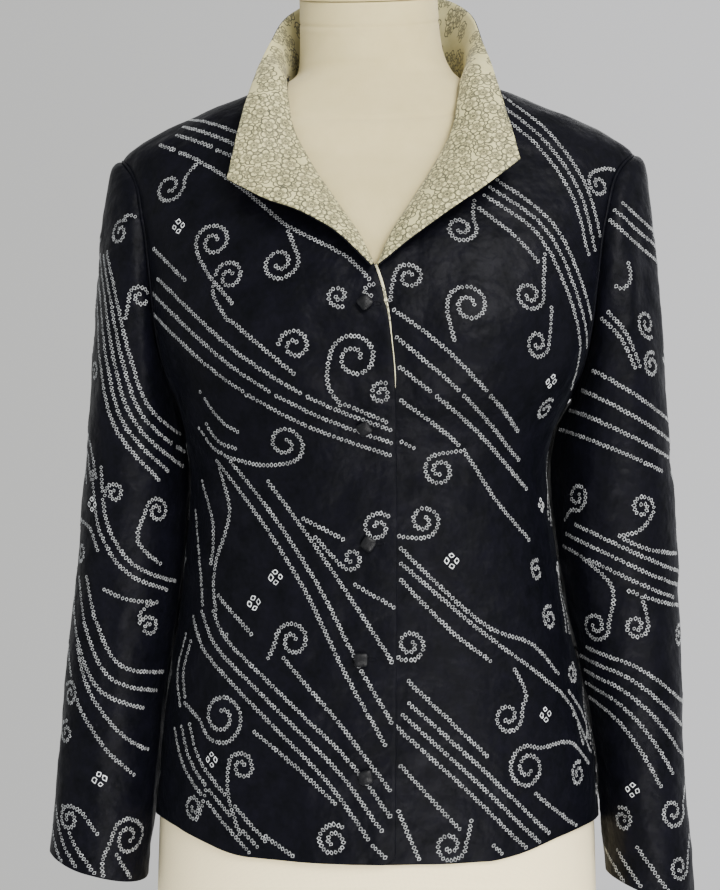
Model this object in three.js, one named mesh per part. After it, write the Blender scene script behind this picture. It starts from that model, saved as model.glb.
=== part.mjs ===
// A fitted button-front jacket with long set-in sleeves and a stand-away pointed collar, worn by a limbless
// dress form on a pole and a round base.
//
// Units are millimetres. +Z is up, -Y is the front and +X is the wearer's left. The origin is the middle of
// the base's underside. "right" and "left" in names are the wearer's own. Every cloth piece is a thin closed
// wall: the body's cloth lies on one surface, worked out from SECTIONS, and is moved in or out by a "lift".
import * as THREE from "three";

// ---- Driving dimensions ---------------------------------------------------------------------------------
const WALL = 1.5; // cloth of the fronts, back and sleeves
const COLLAR_WALL = 1.2;
const SEAM = 0.3; // between two pieces at a seam

const HEM_Z = 690;
const UNDERARM_Z = 1038;
const SHOULDER_Z = 1232; // top of the armhole
const NECK_Z = 1295; // shoulder seam at the neck
const BICEP_Z = 1000; // where the sleeve becomes a plain tube
const ELBOW_Z = 856;

const BODY_ROWS = 8; // rows of facets from hem to underarm
const ARMHOLE_ROWS = 8;
const SHOULDER_ROWS = 5;
const FRONT_COLUMNS = 13;
const BACK_COLUMNS = 20;
const FOREARM_ROWS = 4; // from the cuff to the elbow
const UPPER_ARM_ROWS = 3; // from the elbow to the bicep
const CAP_ROWS = 6; // from the armhole to the bicep
const COLLAR_STEPS = 2; // facets from one collar station to the next
const COLLAR_COLUMNS = 5;
const FORM_COLUMNS = 40;

// The jacket's outer surface, level by level: half widths to the wearer's right and left, depths to the front
// and back, the squareness of the curve at front and back (2 is an ellipse), and the form's ease inside it.
const SECTIONS = [
  { z: 460, right: 160, left: 160, front: 112, back: 118, squareFront: 2.3, squareBack: 2.3, ease: 2 },
  { z: 620, right: 181, left: 181, front: 125, back: 128, squareFront: 2.2, squareBack: 2.3, ease: 2 },
  { z: 690, right: 180, left: 180, front: 125, back: 125, squareFront: 2.05, squareBack: 2.3, ease: 2 },
  { z: 745, right: 175, left: 177, front: 122, back: 122, squareFront: 2.2, squareBack: 2.3, ease: 3 },
  { z: 810, right: 168, left: 166, front: 117, back: 114, squareFront: 2.3, squareBack: 2.3, ease: 6 },
  { z: 874, right: 158, left: 152, front: 111, back: 104, squareFront: 2.3, squareBack: 2.3, ease: 10 },
  { z: 939, right: 152, left: 142, front: 107, back: 97, squareFront: 2.3, squareBack: 2.3, ease: 14 },
  { z: 980, right: 150, left: 138, front: 108, back: 95, squareFront: 2.4, squareBack: 2.3, ease: 15 },
  { z: 1010, right: 154, left: 143, front: 115, back: 96, squareFront: 2.5, squareBack: 2.3, ease: 12 },
  { z: 1038, right: 161, left: 157, front: 126, back: 98, squareFront: 2.5, squareBack: 2.3, ease: 9 },
  { z: 1062, right: 171, left: 169, front: 131, back: 101, squareFront: 2.5, squareBack: 2.3, ease: 7 },
  { z: 1090, right: 179, left: 178, front: 131, back: 104, squareFront: 2.45, squareBack: 2.3, ease: 6 },
  { z: 1132, right: 188, left: 188, front: 121, back: 108, squareFront: 2.4, squareBack: 2.3, ease: 5 },
  { z: 1165, right: 195, left: 195, front: 109, back: 109, squareFront: 2.4, squareBack: 2.3, ease: 4 },
  { z: 1200, right: 206, left: 206, front: 91, back: 106, squareFront: 2.25, squareBack: 2.15, ease: 3 },
  { z: 1232, right: 209, left: 209, front: 75, back: 98, squareFront: 2.1, squareBack: 1.95, ease: 5.5 },
  { z: 1251, right: 183, left: 183, front: 67, back: 92, squareFront: 2.05, squareBack: 1.95, ease: 2.2 },
  { z: 1270, right: 141, left: 141, front: 59, back: 84, squareFront: 2.05, squareBack: 2, ease: 1.5 },
  { z: 1285, right: 103, left: 103, front: 54, back: 77, squareFront: 2.1, squareBack: 2.05, ease: 2.2 },
  { z: 1296, right: 74, left: 74, front: 51, back: 71, squareFront: 2.1, squareBack: 2.1, ease: 2.2 },
  { z: 1300, right: 68, left: 68, front: 50, back: 69, squareFront: 2.1, squareBack: 2.1, ease: 2.2 },
];
const BUST = { z: 1064, apart: 84, lift: 7, wide: 42, high: 46 }; // one soft mound at each side of the middle
const SIDE_SEAM_BACK = 10; // how far behind the widest line the side seam reaches the hem

// The armhole, seen from the side: a loop whose ends are UNDERARM_Z and SHOULDER_Z.
const ARMHOLE = { front: 55, back: 50, square: 2.3 };

// The fronts' inner edges, as x on the front surface. Below the V each is the front edge, where the right
// front laps over the left, and above it each is the neckline up to the shoulder seam.
const FRONT_EDGES = [
  { z: 690, right: 22, left: -22 },
  { z: 1040, right: 22, left: -22 },
  { z: 1087, right: 18, left: -20 },
  { z: 1112, right: 13, left: -8 },
  { z: 1131, right: 7, left: 8 },
  { z: 1157, right: -7, left: 20 },
  { z: 1185, right: -26, left: 35 },
  { z: 1217, right: -47, left: 53 },
  { z: 1244, right: -60, left: 64 },
  { z: 1270, right: -66, left: 68 },
  { z: 1295, right: -69, left: 70 },
];
// The right front rises over the left front's edge, all of the way by "full", and less above the V.
const LAP = { rise: WALL + 2 * SEAM, start: 70, full: 42, fades: 1131, gone: 1185 };
const HEM_CORNER = 9; // radius of the right front's lower corner

// The sleeves as plain tubes below the bicep: how far out each side lies, the middle's y and the half depth.
const SLEEVES = {
  right: [
    { z: 1000, inner: 153.5, outer: 235, y: -2, depth: 63 },
    { z: 950, inner: 154, outer: 239, y: -4, depth: 60 },
    { z: 907, inner: 157, outer: 242, y: -6, depth: 57 },
    { z: 858, inner: 163, outer: 247, y: -9, depth: 54 },
    { z: 810, inner: 170, outer: 251, y: -13, depth: 51 },
    { z: 750, inner: 177, outer: 255, y: -17, depth: 48 },
    { z: 700, inner: 182, outer: 258.5, y: -21, depth: 46 },
    { z: 664, inner: 183.5, outer: 261, y: -24, depth: 45 },
  ],
  left: [
    { z: 1000, inner: 149, outer: 239, y: -2, depth: 61 },
    { z: 950, inner: 147, outer: 243, y: -4, depth: 58 },
    { z: 907, inner: 149.5, outer: 245, y: -6, depth: 55 },
    { z: 858, inner: 158.5, outer: 248, y: -9, depth: 53 },
    { z: 810, inner: 169, outer: 249, y: -13, depth: 51 },
    { z: 750, inner: 179, outer: 251, y: -17, depth: 48 },
    { z: 700, inner: 182.5, outer: 252, y: -21, depth: 46 },
    { z: 655, inner: 183, outer: 253.5, y: -24, depth: 45 },
  ],
};
const CUFF_TILT = { right: 6, left: -9 }; // how much higher the cuff's outer side hangs than its inner side
const SLEEVE_SQUARE = 2.15;
const CAP_PULL = { out: 0.46, rise: 0.25, forward: 0.3 }; // how boldly the sleeve cap leaves the armhole

// The collar, station by station from the V to the middle of the back, for each side. The seam is a point of
// the neckline, as x and z on the front surface or with its own y behind it. The edge is the leaf's free edge,
// and "roll" is how far the leaf's middle bows out to its face. The pointed tip is the station with a corner.
const COLLAR = {
  right: [
    { seam: { x: 5, z: 1134 }, edge: { x: 4, y: -131, z: 1132.5 }, roll: 0 },
    { seam: { x: -7, z: 1157 }, edge: { x: -20, y: -128, z: 1156 }, roll: 1 },
    { seam: { x: -26, z: 1185 }, edge: { x: -47, y: -124, z: 1173 }, roll: 3 },
    { seam: { x: -41, z: 1208 }, edge: { x: -77, y: -118, z: 1185 }, roll: 5 },
    { seam: { x: -53, z: 1229 }, edge: { x: -107, y: -101, z: 1202 }, roll: 6, corner: true },
    { seam: { x: -60, z: 1244 }, edge: { x: -103, y: -86, z: 1231 }, roll: 6 },
    { seam: { x: -65, z: 1265 }, edge: { x: -99, y: -68, z: 1259 }, roll: 6 },
    { seam: { x: -68, z: 1284 }, edge: { x: -92, y: -41, z: 1294 }, roll: 6 },
    { seam: { x: -74, y: -6, z: 1298.5 }, edge: { x: -86, y: -10, z: 1325 }, roll: 5 },
    { seam: { x: -66, y: 32, z: 1298.5 }, edge: { x: -75, y: 26, z: 1357 }, roll: 4 },
    { seam: { x: -40, y: 60, z: 1298.5 }, edge: { x: -48, y: 64, z: 1380 }, roll: 3 },
    { seam: { x: 0, y: 71, z: 1298.5 }, edge: { x: 0, y: 81, z: 1386 }, roll: 3 },
  ],
  left: [
    { seam: { x: 12, z: 1137 }, edge: { x: 14, y: -130, z: 1137 }, roll: 0 },
    { seam: { x: 20, z: 1157 }, edge: { x: 32, y: -127, z: 1152 }, roll: 1 },
    { seam: { x: 35, z: 1185 }, edge: { x: 60, y: -122, z: 1173 }, roll: 3 },
    { seam: { x: 46, z: 1204 }, edge: { x: 86, y: -115, z: 1191 }, roll: 5 },
    { seam: { x: 57, z: 1226 }, edge: { x: 114, y: -100, z: 1214 }, roll: 6, corner: true },
    { seam: { x: 64, z: 1244 }, edge: { x: 108, y: -84, z: 1239 }, roll: 6 },
    { seam: { x: 67, z: 1265 }, edge: { x: 102, y: -67, z: 1262 }, roll: 6 },
    { seam: { x: 69, z: 1284 }, edge: { x: 94, y: -41, z: 1295 }, roll: 6 },
    { seam: { x: 74, y: -6, z: 1298.5 }, edge: { x: 86, y: -10, z: 1325 }, roll: 5 },
    { seam: { x: 66, y: 32, z: 1298.5 }, edge: { x: 75, y: 26, z: 1357 }, roll: 4 },
    { seam: { x: 40, y: 60, z: 1298.5 }, edge: { x: 48, y: 64, z: 1380 }, roll: 3 },
  ],
};

// Covered buttons down the centre front, each turned its own way in its buttonhole.
const BUTTONS = [
  { z: 1104, x: 0, turn: 40 },
  { z: 1013, x: -1, turn: 28 },
  { z: 926, x: 1, turn: -32 },
  { z: 840, x: -4, turn: 2 },
  { z: 754.5, x: 0, turn: 14 },
];
const BUTTON = { half: 5.1, shank: 1.9, shankHigh: 2, high: 4.6, square: 5, clear: 0.5 };
const FACING = { top: 1126, bottom: 1042, wide: 1.3 }; // the facing that shows along the right front's edge

// The form's neck, above the shoulders, and the stand. "tilt" is how much each ring rises for every
// millimetre further back, so the neck is cut off sloping down to the front.
const NECK = [
  { z: 1300, x: -0.5, half: 64.5, front: 49.5, back: 64, tilt: 0 },
  { z: 1309, x: -2, half: 60.5, front: 49.5, back: 60, tilt: 0.06 },
  { z: 1322, x: -3, half: 59, front: 49, back: 57.5, tilt: 0.15 },
  { z: 1344, x: -3.5, half: 58.5, front: 48.5, back: 56, tilt: 0.28 },
  { z: 1364, x: -4, half: 58.5, front: 48.5, back: 55.5, tilt: 0.33 },
];
const FORM_BOTTOM = {
  z: 460,
  round: 8,
  rounding: [
    { rise: 0, cut: 1 },
    { rise: 0.25, cut: 0.4 },
    { rise: 1, cut: 0 },
  ],
};
const FORM_SKIRT_ROWS = [540, 620, 655]; // heights of the form's rings below the hem
const NECK_CAP = { high: 12, over: 1.5, round: 3 };
const POLE = { radius: 16, footRadius: 46, footHigh: 7 };
const BASE = { radius: 210, high: 12, bevel: 3 };

// ---- Finishes -------------------------------------------------------------------------------------------
function finish(color, roughness, metalness = 0) {
  return new THREE.MeshStandardMaterial({ color, roughness, metalness });
}

const SILK = finish(0x17181d, 0.45);
const FACING_SILK = finish(0xd2cdb6, 0.5);
const LINEN = finish(0xd8cfb8, 0.85);
const ENAMEL = finish(0xb9b4a8, 0.4, 0.3);

// ---- Numbers between table rows -------------------------------------------------------------------------
const { clamp, lerp, smoothstep } = THREE.MathUtils;

// The slope at row i that keeps a curve through the rows from overshooting: the harmonic mean of the slopes
// of its two spans, or none where they differ in sign.
function rowSlope(rows, key, i) {
  const span = (k) => (rows[k + 1][key] - rows[k][key]) / (rows[k + 1].z - rows[k].z);
  if (i === 0) return span(0);
  if (i === rows.length - 1) return span(i - 1);
  const before = span(i - 1);
  const after = span(i);
  return before * after > 0 ? (2 * before * after) / (before + after) : 0;
}

// A column's value at height z, on a smooth curve through the rows, which lie in order of z either way.
function columnAt(rows, key, z) {
  const rising = rows[1].z > rows[0].z;
  const sorted = rising ? rows : [...rows].reverse();
  const at = clamp(z, sorted[0].z, sorted.at(-1).z);
  const next = Math.max(1, sorted.findIndex((row) => row.z >= at));
  const [a, b] = [sorted[next - 1], sorted[next]];
  const step = b.z - a.z;
  const t = (at - a.z) / step;
  const [t2, t3] = [t * t, t * t * t];
  const rise = (t3 - 2 * t2 + t) * step * rowSlope(sorted, key, next - 1);
  const fall = (t3 - t2) * step * rowSlope(sorted, key, next);
  return (2 * t3 - 3 * t2 + 1) * a[key] + (3 * t2 - 2 * t3) * b[key] + rise + fall;
}

// ---- The body's surface ---------------------------------------------------------------------------------
const SIDES = { right: -1, left: 1 };

// The bust's share of the front depth at (x, z).
function bustAt(x, z) {
  const high = Math.exp(-(((z - BUST.z) / BUST.high) ** 2));
  const mound = (apex) => Math.exp(-(((x - apex) / BUST.wide) ** 2));
  return BUST.lift * high * (mound(BUST.apart) + mound(-BUST.apart));
}

// The section at height z, with both half widths alike for the form.
function sectionAt(z, even = false) {
  const section = {};
  for (const key of Object.keys(SECTIONS[0])) section[key] = columnAt(SECTIONS, key, z);
  if (even) section.right = section.left = Math.min(section.right, section.left);
  return section;
}

// The point of a section at an angle from +X, counter-clockwise from above, on a superellipse.
function sectionPoint(section, angle) {
  const [c, s] = [Math.cos(angle), Math.sin(angle)];
  const half = c < 0 ? section.right : section.left;
  const [depth, square] = s < 0 ? [section.front, section.squareFront] : [section.back, section.squareBack];
  const radius = (Math.abs(c / half) ** square + Math.abs(s / depth) ** square) ** (-1 / square);
  const point = new THREE.Vector3(radius * c, radius * s, section.z);
  if (s < 0) point.y -= bustAt(point.x, section.z) * smoothstep(-s, 0, 0.5);
  return point;
}

// The body's surface at an angle and height, moved out along its normal by lift.
function bodyPoint(angle, z, lift = 0, even = false) {
  const at = (a, height) => sectionPoint(sectionAt(height, even), a);
  const around = at(angle + 0.01, z).sub(at(angle - 0.01, z));
  const up = at(angle, z + 1.5).sub(at(angle, z - 1.5));
  const normal = around.cross(up).normalize();
  return at(angle, z).addScaledVector(normal, lift);
}

// The angle at which the front surface at height z passes x.
function frontAngle(x, z) {
  const { right, left, front, squareFront } = sectionAt(z);
  const share = Math.min(1, Math.abs(x) / (x < 0 ? right : left));
  return Math.atan2(-front * (1 - share ** squareFront) ** (1 / squareFront), x);
}

// The armhole's y and z at a turn from its top, where positive turns go down the front.
function armholeTurn(turn) {
  const [c, s] = [Math.cos(turn), Math.sin(turn)];
  const power = 2 / ARMHOLE.square;
  const depth = s > 0 ? -ARMHOLE.front : ARMHOLE.back;
  const middle = (SHOULDER_Z + UNDERARM_Z) / 2;
  const reach = (SHOULDER_Z - UNDERARM_Z) / 2;
  return { y: depth * Math.abs(s) ** power, z: middle + reach * Math.sign(c) * Math.abs(c) ** power };
}

// The angle at which the section at height z passes y, on one side of the body.
function sideAngle(side, y, z) {
  const section = sectionAt(z);
  const [depth, square] = y < 0 ? [section.front, section.squareFront] : [section.back, section.squareBack];
  const share = Math.min(1, Math.abs(y) / depth);
  return Math.atan2(y, SIDES[side] * section[side] * (1 - share ** square) ** (1 / square));
}

// The heights of a panel's rows, each with the turn of the armhole that it meets.
function panelRows() {
  const rows = [];
  for (const rise of [0, 0.3, 1]) rows.push({ z: HEM_Z + rise * HEM_CORNER, turn: Math.PI });
  const start = HEM_Z + HEM_CORNER;
  for (let i = 1; i < BODY_ROWS; i++) rows.push({ z: lerp(start, UNDERARM_Z, i / BODY_ROWS), turn: Math.PI });
  for (let i = 0; i <= ARMHOLE_ROWS; i++) {
    const turn = Math.PI * (1 - i / ARMHOLE_ROWS);
    rows.push({ z: armholeTurn(turn).z, turn });
  }
  for (let i = 1; i <= SHOULDER_ROWS; i++)
    rows.push({ z: lerp(SHOULDER_Z, NECK_Z, i / SHOULDER_ROWS), turn: 0 });
  return rows;
}

// The y of a panel's outer edge: its side seam, then its half of the armhole, then the shoulder seam.
function outerEdgeY(row, half) {
  if (row.z < UNDERARM_Z) return SIDE_SEAM_BACK * (1 - (row.z - HEM_Z) / (UNDERARM_Z - HEM_Z));
  return armholeTurn(half * row.turn).y;
}

// How far the right front rises at (x, z) to lap over the left front.
function lapLift(x, z) {
  const over = 1 - smoothstep(-x, LAP.full, LAP.start);
  return LAP.rise * over * (1 - smoothstep(z, LAP.fades, LAP.gone));
}

// ---- Solids from grids ----------------------------------------------------------------------------------
function meshOf(name, vertices, faces, material) {
  const geometry = new THREE.BufferGeometry();
  const numbers = vertices.flatMap((v) => v.toArray());
  geometry.setAttribute("position", new THREE.Float32BufferAttribute(numbers, 3));
  geometry.setIndex(faces.flat());
  geometry.computeVertexNormals();
  const mesh = new THREE.Mesh(geometry, material);
  mesh.name = name;
  return mesh;
}

// A wall between two grids of points with equal rows. Seen from outside, the outer grid's columns run
// counter-clockwise about +Z while its rows rise. A tube's last column joins its first.
function wallBetween(name, inner, outer, material, isTube = false) {
  const rows = outer.length;
  const columns = outer[0].length;
  const vertices = [...outer.flat(), ...inner.flat()];
  const at = (i, j, layer) => layer * rows * columns + i * columns + (j % columns);
  const faces = [];
  const quad = (a, b, c, d) => faces.push([a, b, c], [a, c, d]);
  const lastColumn = isTube ? columns : columns - 1;
  for (let i = 0; i + 1 < rows; i++)
    for (let j = 0; j < lastColumn; j++) {
      quad(at(i, j, 0), at(i, j + 1, 0), at(i + 1, j + 1, 0), at(i + 1, j, 0));
      quad(at(i, j, 1), at(i + 1, j, 1), at(i + 1, j + 1, 1), at(i, j + 1, 1));
    }
  for (let j = 0; j < lastColumn; j++) {
    quad(at(0, j, 0), at(0, j, 1), at(0, j + 1, 1), at(0, j + 1, 0));
    quad(at(rows - 1, j, 0), at(rows - 1, j + 1, 0), at(rows - 1, j + 1, 1), at(rows - 1, j, 1));
  }
  for (let i = 0; !isTube && i + 1 < rows; i++) {
    quad(at(i, 0, 0), at(i + 1, 0, 0), at(i + 1, 0, 1), at(i, 0, 1));
    quad(at(i, columns - 1, 0), at(i, columns - 1, 1), at(i + 1, columns - 1, 1), at(i + 1, columns - 1, 0));
  }
  return meshOf(name, vertices, faces, material);
}

// A closed solid through rings, each running counter-clockwise, with a fan over each end.
function stackOf(name, rings, material) {
  const count = rings[0].length;
  const middle = (ring) => ring.reduce((sum, v) => sum.add(v), new THREE.Vector3()).divideScalar(count);
  const vertices = [...rings.flat(), middle(rings[0]), middle(rings.at(-1))];
  const [low, high] = [vertices.length - 2, vertices.length - 1];
  const at = (i, j) => i * count + (j % count);
  const faces = [];
  for (let j = 0; j < count; j++) {
    for (let i = 0; i + 1 < rings.length; i++)
      faces.push([at(i, j), at(i, j + 1), at(i + 1, j + 1)], [at(i, j), at(i + 1, j + 1), at(i + 1, j)]);
    faces.push([low, at(0, j + 1), at(0, j)], [high, at(rings.length - 1, j), at(rings.length - 1, j + 1)]);
  }
  return meshOf(name, vertices, faces, material);
}

// ---- The jacket's panels --------------------------------------------------------------------------------
// A panel from angles(row) = [first, last], each row's angles running counter-clockwise, less half a seam at
// each edge that joins another piece.
function panel(name, columns, angles, liftAt = () => 0) {
  const layer = (depth) =>
    panelRows().map((row) => {
      const [first, last] = angles(row);
      return Array.from({ length: columns + 1 }, (_, j) => {
        const angle = lerp(first, last, j / columns);
        const x = bodyPoint(angle, row.z).x;
        return bodyPoint(angle, row.z, depth + liftAt(x, row.z));
      });
    });
  return wallBetween(name, layer(-WALL), layer(0), SILK);
}

const halfSeam = (row, side) => SEAM / 2 / sectionAt(row.z)[side];
const positive = (angle) => (angle < 0 ? angle + 2 * Math.PI : angle);

// The right front's edge pulls in round its lower corner.
function cornerCut(z) {
  const above = Math.min(z - HEM_Z, HEM_CORNER);
  return HEM_CORNER - Math.sqrt(HEM_CORNER ** 2 - (HEM_CORNER - above) ** 2);
}

function jacketFrontRight() {
  const angles = (row) => [
    positive(sideAngle("right", outerEdgeY(row, 1), row.z)) + halfSeam(row, "right"),
    positive(frontAngle(columnAt(FRONT_EDGES, "right", row.z) - cornerCut(row.z), row.z)),
  ];
  return panel("jacket_front_right", FRONT_COLUMNS, angles, lapLift);
}

function jacketFrontLeft() {
  const angles = (row) => [
    frontAngle(columnAt(FRONT_EDGES, "left", row.z), row.z),
    sideAngle("left", outerEdgeY(row, 1), row.z) - halfSeam(row, "left"),
  ];
  return panel("jacket_front_left", FRONT_COLUMNS, angles);
}

function jacketBack() {
  const angles = (row) => [
    sideAngle("left", outerEdgeY(row, -1), row.z) + halfSeam(row, "left"),
    positive(sideAngle("right", outerEdgeY(row, -1), row.z)) - halfSeam(row, "right"),
  ];
  return panel("jacket_back", BACK_COLUMNS, angles);
}

// ---- The sleeves ----------------------------------------------------------------------------------------
// The tube's point at a turn from its outer side, where positive turns go to the front. "inside" is how
// far inside the tube's outer surface it lies.
function tubePoint(side, z, turn, inside) {
  const rows = SLEEVES[side];
  const [inner, outer, y] = ["inner", "outer", "y"].map((key) => columnAt(rows, key, z));
  const [c, s] = [Math.cos(turn), Math.sin(turn)];
  const power = 2 / SLEEVE_SQUARE;
  const across = ((outer - inner) / 2 - inside) * Math.sign(c) * Math.abs(c) ** power;
  const deep = (columnAt(rows, "depth", z) - inside) * Math.sign(s) * Math.abs(s) ** power;
  const fall = clamp((BICEP_Z - z) / (BICEP_Z - rows.at(-1).z), 0, 1);
  const tilt = (CUFF_TILT[side] / 2) * fall * fall * Math.cos(turn);
  return new THREE.Vector3(SIDES[side] * ((inner + outer) / 2 + across), y - deep, z + tilt);
}

// The cap's point at share t of the way from the armhole to the bicep: a Hermite curve that leaves the armhole
// outwards and arrives straight down.
function capPoint(side, turn, t, inside) {
  const { y, z } = armholeTurn(turn > Math.PI ? turn - 2 * Math.PI : turn);
  const start = bodyPoint(sideAngle(side, y, z), z, SEAM + WALL - inside);
  const end = tubePoint(side, BICEP_Z, turn, inside);
  const drop = start.z - end.z;
  const high = (z - UNDERARM_Z) / (SHOULDER_Z - UNDERARM_Z);
  const leave = new THREE.Vector3(
    SIDES[side] * drop * CAP_PULL.out * high * (1 - CAP_PULL.rise * (1 - high)),
    (drop * CAP_PULL.forward * y) / ARMHOLE.front,
    -drop * lerp(1, 0.45, high),
  );
  const below = tubePoint(side, BICEP_Z - 10, turn, inside).sub(end);
  const arrive = below.multiplyScalar(drop / 10);
  const [t2, t3] = [t * t, t * t * t];
  return new THREE.Vector3()
    .addScaledVector(start, 2 * t3 - 3 * t2 + 1)
    .addScaledVector(leave, t3 - 2 * t2 + t)
    .addScaledVector(end, 3 * t2 - 2 * t3)
    .addScaledVector(arrive, t3 - t2);
}

// A sleeve as three short tubes, parted at the elbow and the bicep, so that each collides closely.
function sleeve(side) {
  const turns = Array.from({ length: 2 * ARMHOLE_ROWS }, (_, k) => (Math.PI * k) / ARMHOLE_ROWS);
  const around = side === "right" ? turns : [turns[0], ...turns.slice(1).reverse()];
  const tube = (part, rows, pointAt) => {
    const layer = (inside) =>
      Array.from({ length: rows + 1 }, (_, i) => around.map((turn) => pointAt(i / rows, turn, inside)));
    return wallBetween(["sleeve", side, part].join("_"), layer(WALL), layer(0), SILK, true);
  };
  const between = (low, high) => (share, turn, inside) =>
    tubePoint(side, lerp(low, high, share), turn, inside);
  return [
    tube("forearm", FOREARM_ROWS, between(SLEEVES[side].at(-1).z, ELBOW_Z - SEAM)),
    tube("upper", UPPER_ARM_ROWS, between(ELBOW_Z, BICEP_Z - SEAM)),
    tube("cap", CAP_ROWS, (share, turn, inside) => capPoint(side, turn, 1 - share, inside)),
  ];
}

// ---- The collar -----------------------------------------------------------------------------------------
// The seam's point of a station, a little above the panels where it lies on the fronts.
function seamPoint({ seam }) {
  if (seam.y !== undefined) return new THREE.Vector3(seam.x, seam.y, seam.z);
  const clear = COLLAR_WALL + SEAM / 2 + 2 * SEAM;
  return bodyPoint(frontAngle(seam.x, seam.z), seam.z, clear + lapLift(seam.x, seam.z));
}

// The collar's middle surface as rows along the seam, from the left V round the back to the right V. The free
// edge is one curve from V to tip and another round the neck, so that each tip stays a corner.
function collarGrid() {
  const stations = [...COLLAR.left, ...[...COLLAR.right].reverse()];
  const last = stations.length - 1;
  const seam = new THREE.CatmullRomCurve3(stations.map(seamPoint));
  const tips = stations.flatMap((row, i) => (row.corner ? [i] : []));
  const stops = [0, ...tips, last];
  const edges = stops.slice(1).map((stop, k) => {
    const rows = stations.slice(stops[k], stop + 1);
    const points = rows.map(({ edge }) => new THREE.Vector3(edge.x, edge.y, edge.z));
    return { from: stops[k], to: stop, curve: new THREE.CatmullRomCurve3(points) };
  });
  const edgeAt = (station) => {
    const { from, to, curve } = edges.find((part) => station <= part.to);
    return curve.getPoint((station - from) / (to - from));
  };
  const rollAt = (station) => {
    const i = Math.min(Math.floor(station), last - 1);
    return lerp(stations[i].roll, stations[i + 1].roll, station - i);
  };
  return Array.from({ length: last * COLLAR_STEPS + 1 }, (_, k) => {
    const station = k / COLLAR_STEPS;
    const [root, edge] = [seam.getPoint(station / last), edgeAt(station)];
    const along = seam.getTangent(station / last);
    const face = edge.clone().sub(root).cross(along).normalize();
    const bow = root.clone().lerp(edge, 0.45).addScaledVector(face, 2 * rollAt(station));
    const across = new THREE.QuadraticBezierCurve3(root, bow, edge);
    return Array.from({ length: COLLAR_COLUMNS + 1 }, (_, j) => across.getPoint(j / COLLAR_COLUMNS));
  });
}

// The grid moved along its own normals, which point out of the leaf's face.
function movedGrid(grid, distance) {
  const clampTo = (k, count) => clamp(k, 0, count - 1);
  return grid.map((row, i) =>
    row.map((point, j) => {
      const [before, after] = [grid[clampTo(i - 1, grid.length)], grid[clampTo(i + 1, grid.length)]];
      const along = after[j].clone().sub(before[j]);
      const across = row[clampTo(j + 1, row.length)].clone().sub(row[clampTo(j - 1, row.length)]);
      return point.clone().addScaledVector(across.cross(along).normalize(), distance);
    }),
  );
}

function collarLayer(name, low, high, material) {
  const grid = collarGrid();
  return wallBetween(name, movedGrid(grid, low), movedGrid(grid, high), material);
}

const collar = () => collarLayer("collar", SEAM / 2, SEAM / 2 + COLLAR_WALL, FACING_SILK);
const underCollar = () => collarLayer("under_collar", -SEAM / 2 - COLLAR_WALL, -SEAM / 2, SILK);

// The facing's turned edge along the right front, from the V down.
function frontFacing() {
  const steps = 6;
  const strip = (lift) =>
    Array.from({ length: steps + 1 }, (_, i) => {
      const z = lerp(FACING.bottom, FACING.top, i / steps);
      const edge = columnAt(FRONT_EDGES, "right", z) + SEAM;
      return [edge, edge + FACING.wide].map((x) => bodyPoint(frontAngle(x, z), z, lift));
    });
  return wallBetween("front_facing", strip(LAP.rise - WALL), strip(LAP.rise), FACING_SILK);
}

// ---- The buttons ----------------------------------------------------------------------------------------
// A padded square head on a round shank, built standing on z = 0 and then laid against the right front, where
// a ray from straight in front meets it.
function button(index, front) {
  const { z, x, turn } = BUTTONS[index];
  const sides = 16;
  const ring = (half, square, height) =>
    Array.from({ length: sides }, (_, k) => {
      const a = (2 * Math.PI * (k + 0.5)) / sides;
      const [c, s] = [Math.cos(a), Math.sin(a)];
      const radius = half * (Math.abs(c) ** square + Math.abs(s) ** square) ** (-1 / square);
      return new THREE.Vector3(radius * c, radius * s, height);
    });
  const head = BUTTON.high - 0.4;
  const rings = [
    ring(BUTTON.shank, 2, 0),
    ring(BUTTON.shank, 2, BUTTON.shankHigh),
    ring(BUTTON.half * 0.9, BUTTON.square, BUTTON.shankHigh + 0.2),
    ring(BUTTON.half, BUTTON.square, BUTTON.shankHigh + 1),
    ring(BUTTON.half * 0.92, BUTTON.square, head),
    ring(BUTTON.half * 0.5, BUTTON.square, BUTTON.high),
  ];
  const mesh = stackOf("button_" + (index + 1), rings, SILK);
  const ray = new THREE.Raycaster(new THREE.Vector3(x, -BASE.radius, z), new THREE.Vector3(0, 1, 0));
  const { point, face } = ray.intersectObject(front)[0];
  mesh.position.copy(point).addScaledVector(face.normal, BUTTON.clear);
  mesh.quaternion.setFromUnitVectors(new THREE.Vector3(0, 0, 1), face.normal);
  mesh.rotateZ(THREE.MathUtils.degToRad(turn));
  return mesh;
}

// ---- The form and its stand -----------------------------------------------------------------------------
// A ring of the neck's section, grown by out. The neck leans a little to the wearer's right.
function neckRing({ x, half, front, back, tilt }, out, z) {
  return Array.from({ length: FORM_COLUMNS }, (_, k) => {
    const a = (2 * Math.PI * k) / FORM_COLUMNS;
    const y = ((a > Math.PI ? front : back) + out) * Math.sin(a);
    return new THREE.Vector3(x + (half + out) * Math.cos(a), y, z + tilt * y);
  });
}

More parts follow.
